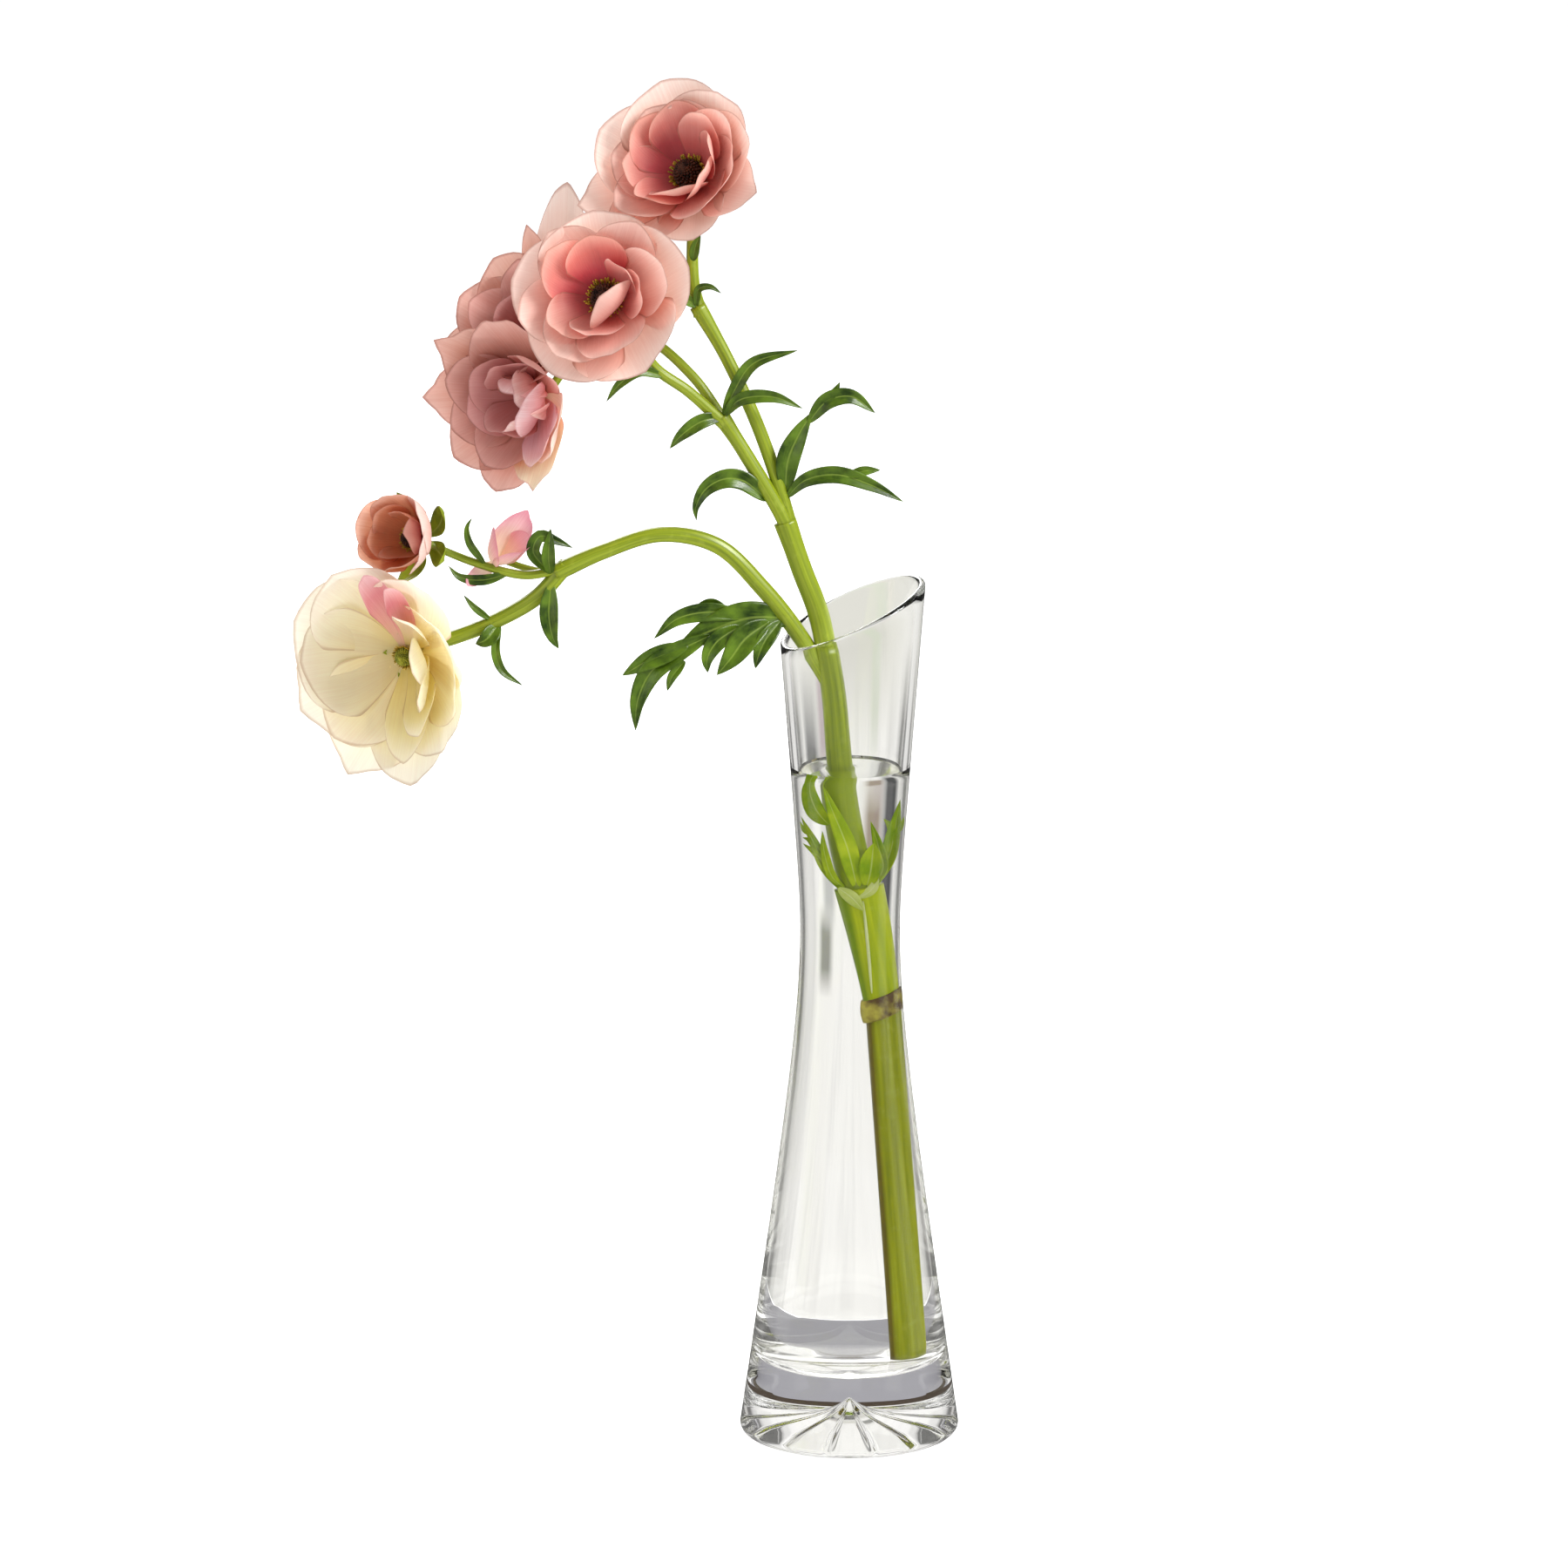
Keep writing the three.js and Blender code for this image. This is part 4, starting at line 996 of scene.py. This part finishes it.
def build_cream_flower():
    outer = petals([
        (165, 30, 44, (87, 70, 56), 1), (124, 30, 36, (86, 66, 50), 1),
        (212, 31, 38, (87, 70, 57), 0.95, {"point": 0.06}),
        (250, 33, 31, (86, 66, 52), 0.85, {"point": 0.08}),
        (284, 34, 28, (86, 61, 47), 0.75), (318, 31, 28, (85, 52, 36), 0.7),
        (352, 29, 28, (84, 48, 29), 0.7), (30, 29, 28, (84, 48, 30), 0.8), (72, 31, 26, (86, 58, 42), 0.95),
    ], cup=0.035, base=(1.8, -0.8), ruffle=0.5)
    outer += petals([
        (186, 27, 33, (86, 66, 50), 0.9), (234, 28, 26, (85, 62, 46), 0.8),
    ], cup=0.04, base=(2, 0))
    inner = petals([
        (286, 28, 15, (82, 50, 34), 0.15), (312, 26, 15, (80, 38, 18), 0.05),
        (100, 29, 11, (84, 56, 44), 0.1, {"material": 1, "cup": 0.1}),
        (82, 28, 9, (83, 52, 38), 0, {"material": 1, "cup": 0.14}),
        (340, 23, 15, (76, 28, 2), 0.15), (62, 25, 13, (80, 38, 14), 0.6),
        (16, 22, 14, (74, 22, -6), 0.3),
    ], cup=0.06, base=(2.4, 0.4))
    place_flower("cream_flower", (-120.4, -9.4, 221.4), (-0.42, -0.89, -0.14), outer, inner,
                 [CREAM, PINK], size=0.62, carpels=GREEN_CARPEL)


def build_half_open_bud():
    axes = flower_axes((0.45, -0.6, 0.66))
    shown = petals([
        (185, 13, 12, (60, 18, 0), 0.95), (80, 18, 11, (40, 8, 8), 1, {"point": 0.1}),
        (300, 15, 11, (46, 12, 12), 0.85), (20, 14, 8, (40, 8, 4), 0.7),
    ], cup=0.12, base=(0.5, 0))
    shown += petals([(232, 12, 5, (95, 100, 96), 0.8)], cup=0.1, base=(0.5, 0.4))
    surfaces = [p.moved(axes, (-96.6, -1.6, 245.6)) for p in shown]
    make_piece("half_open_bud_petals", surfaces, [PINK], "half_open_bud")


# ---------- studio ----------

def look_at(obj, target):
    way = Vector(target) - obj.location
    obj.rotation_euler = way.to_track_quat("-Z", "Y").to_euler()


def build_camera():
    """A long lens a little above the vase, centred where the whole spray fits."""
    elevation = math.radians(12.7)
    distance = 2.5
    seen_width = 0.4282
    target = Vector(placed((-18.1, 0, 183.4)))
    data = bpy.data.cameras.new("camera")
    data.sensor_width = 36
    data.lens = 36 * distance / seen_width
    data.clip_end = 50
    camera = bpy.data.objects.new("camera", data)
    bpy.context.scene.collection.objects.link(camera)
    camera.location = target + distance * Vector((0, -math.cos(elevation), math.sin(elevation)))
    look_at(camera, target)
    bpy.context.scene.camera = camera


def add_area(name, at, target, size, power):
    data = bpy.data.lights.new(name, "AREA")
    data.shape = "DISK"
    data.size = size
    data.energy = power
    lamp = bpy.data.objects.new(name, data)
    bpy.context.scene.collection.objects.link(lamp)
    lamp.location = at
    look_at(lamp, target)


# The room round the vase, in metres.
ROOM_RADIUS = 0.08
ROOM_HEIGHT = 0.5
ROOM_SIDES = 72
# Tones of its wall at angles in degrees away from straight behind the vase.
WALL_TONES = [
    (0, 1), (13, 1), (16, 0.86), (22, 0.9), (27, 0.62), (30, 0.2), (35, 0.24), (39, 0.85), (51, 0.93),
    (56, 0.25), (62, 0.06), (78, 0.08), (84, 0.8), (88, 0.95), (102, 0.95), (108, 0.4), (112, 0.15),
    (126, 0.3), (134, 0.8), (180, 0.9),
]
# Soft patches on the wall: angle, half width, lowest and highest point, colour.
WALL_PATCHES = [
    (0, 30, 0.165, 0.300, "dddcd4"),
    (-15.5, 6.5, 0.100, 0.200, "505052"),
    (-7, 4.5, 0.125, 0.178, "a3958a"),
    (10, 4, 0.100, 0.134, "9a9a96"),
    (8, 3, 0.122, 0.164, "c6c6c8"),
    (-8.4, 2.6, 0.164, 0.206, "c0b4b6"),
    (8.2, 2, 0.168, 0.230, "d9ddcf"),
]


def add_unseen(name, points, faces, material):
    """Part of the room, seen only through glass and water."""
    obj = add_mesh(name, points, faces, [material])
    obj.location = AXIS
    obj.visible_camera = False
    obj.visible_diffuse = False
    obj.visible_glossy = False
    obj.visible_shadow = False


def wall_strip(radius, low, high, first=-180, last=180, sides=ROOM_SIDES):
    """Points and faces of an upright strip between two heights and two angles from behind."""
    turns = np.radians(np.linspace(first, last, sides + 1))
    points = [(radius * math.sin(a), radius * math.cos(a), z) for z in (low, high) for a in turns]
    return points, grid_faces(2, sides + 1)


def room_paint(s, tone):
    """Emission of the given tone, but full light on whatever stands inside the glass."""
    inside = s.math("MINIMUM", s.path("Diffuse Depth"), 1)
    colour = s.blend(inside, tone, "ffffff")
    strength = s.math("MULTIPLY_ADD", inside, 0.95, 1.14)
    return s.finish(s.node("ShaderNodeEmission", {"Color": colour, "Strength": strength}).outputs[0])


def soft_band(s, value, middle, half):
    """1 near the middle, fading to 0 at half on both sides."""
    away = s.math("ABSOLUTE", s.math("SUBTRACT", value, middle))
    return s.ramp(s.math("DIVIDE", away, half), [(0.4, 1), (1, 0)])


def build_room():
    """A round wall and ceiling with soft patches, a brown band low in front, a dark ring where
    the foot touches the table, a painted contact shadow, and the table itself."""
    s = Shader("room_wall")
    x, y, z = s.split(s.place())
    turn = s.math("ARCTAN2", x, y)
    share = s.math("DIVIDE", s.math("ABSOLUTE", turn), math.pi)
    tone = s.ramp(share, [(angle / 180, value) for angle, value in WALL_TONES])
    above = s.ramp(s.times(z, 2), [(0.36, 0), (0.41, 1)])
    tone = s.blend(s.times(above, 0.93), tone, "f4f4f2")
    fine = s.noise(s.join(s.times(turn, 26), s.times(z, 9), 0), 1, 3)
    streak = s.ramp(fine, [(0.36, 0.9), (0.5, 1), (0.64, 0.97)])
    colour = s.blend(1, s.blend(1, tone, "fcfbf9", "MULTIPLY"), streak, "MULTIPLY")
    for angle, half, low, high, patch in WALL_PATCHES:
        side = soft_band(s, turn, math.radians(angle), math.radians(half))
        level = soft_band(s, z, (low + high) / 2, (high - low) / 2)
        colour = s.blend(s.times(side, level), colour, patch)
    # The half in front of the vase is bright seen straight through it, and dim as a reflection,
    # which would lie over the stems like milk.
    in_front = s.ramp(share, [(0.62, 0), (0.7, 1)])
    mirrored = s.math("MINIMUM", s.path("Glossy Depth"), 1)
    dimmed = s.times(s.times(in_front, mirrored), 0.85)
    wall = room_paint(s, s.blend(dimmed, colour, "000000"))
    points, faces = wall_strip(ROOM_RADIUS, low=0.001, high=ROOM_HEIGHT)
    ceiling = tuple(range(ROOM_SIDES + 1, 2 * ROOM_SIDES + 1))
    add_unseen("room_wall", points, [*faces, ceiling], wall)

    front = Shader("room_front")
    strip = wall_strip(ROOM_RADIUS - 0.004, low=0.001, high=0.011, first=115, last=245, sides=30)
    add_unseen("room_front", *strip, room_paint(front, "6c6054"))

    # A dark ring round the foot, at the table: a painted contact shadow, seen only through the glass.
    shadow_line = Shader("room_shadow_line")
    strip = wall_strip(0.0325, low=0.0002, high=0.0013)
    add_unseen("room_shadow_line", *strip, room_paint(shadow_line, "4c4238"))

    table = Shader("room_table")
    rings = [(r, a) for r in (0.032, ROOM_RADIUS) for a in circle(ROOM_SIDES)]
    points = [(r * math.cos(a), r * math.sin(a), 0.0006) for r, a in rings]
    add_unseen("room_table", points, grid_faces(2, ROOM_SIDES, closed=True), room_paint(table, "a3a2a8"))


# Strength of the white sky on surfaces and in reflections.
AMBIENT = 0.58
MIRRORED = 0.08
# Light turns this often at most inside the glass wall before it comes out.
CLEAR_BOUNCES = 96


def build_sky():
    """White to the camera, AMBIENT on surfaces and MIRRORED in reflections."""
    s = Shader("white_studio", bpy.data.worlds)
    seen = s.math("MULTIPLY_ADD", s.path("Is Camera Ray"), 1 - AMBIENT, AMBIENT)
    level = s.math("MULTIPLY_ADD", s.path("Is Glossy Ray"), MIRRORED - AMBIENT, seen)
    sky = s.node("ShaderNodeBackground", {"Color": (1, 1, 1, 1), "Strength": level})
    bpy.context.scene.world = s.finish(sky.outputs[0], "ShaderNodeOutputWorld")


def build_floor():
    s = Shader("white_floor")
    paint = s.node("ShaderNodeBsdfPrincipled", {
        "Base Color": (0.9, 0.9, 0.9, 1), "Roughness": 0.9,
        "Emission Color": (1, 1, 1, 1), "Emission Strength": 0.5,
    })
    half = 6
    corners = [(-half, -half, 0), (half, -half, 0), (half, half, 0), (-half, half, 0)]
    floor = add_mesh("floor", corners, [(0, 1, 2, 3)], [s.finish(paint.outputs[0])])
    floor.visible_glossy = False


def build_studio():
    build_sky()
    build_floor()
    build_room()
    middle = placed((-30, 0, 230))
    add_area("key", (1.1, -0.6, 1.2), middle, 0.7, 30)
    add_area("fill", (-1.2, -0.9, 0.6), middle, 1, 3)
    add_area("back", (-0.4, 1.4, 1), middle, 0.8, 12)

    scene = bpy.context.scene
    scene.view_settings.view_transform = "Standard"
    scene.view_settings.look = "None"
    scene.cycles.use_denoising = True
    scene.cycles.max_bounces = CLEAR_BOUNCES
    scene.cycles.transmission_bounces = CLEAR_BOUNCES
    scene.cycles.glossy_bounces = CLEAR_BOUNCES
    scene.cycles.diffuse_bounces = 6


build_camera()
build_studio()
build_vase()
build_water()
build_stems()
build_collar()
build_leaves()
build_middle_flower()
build_top_flower()
build_drooping_flower()
build_rear_flower()
build_bud_flower()
build_cream_flower()
build_half_open_bud()
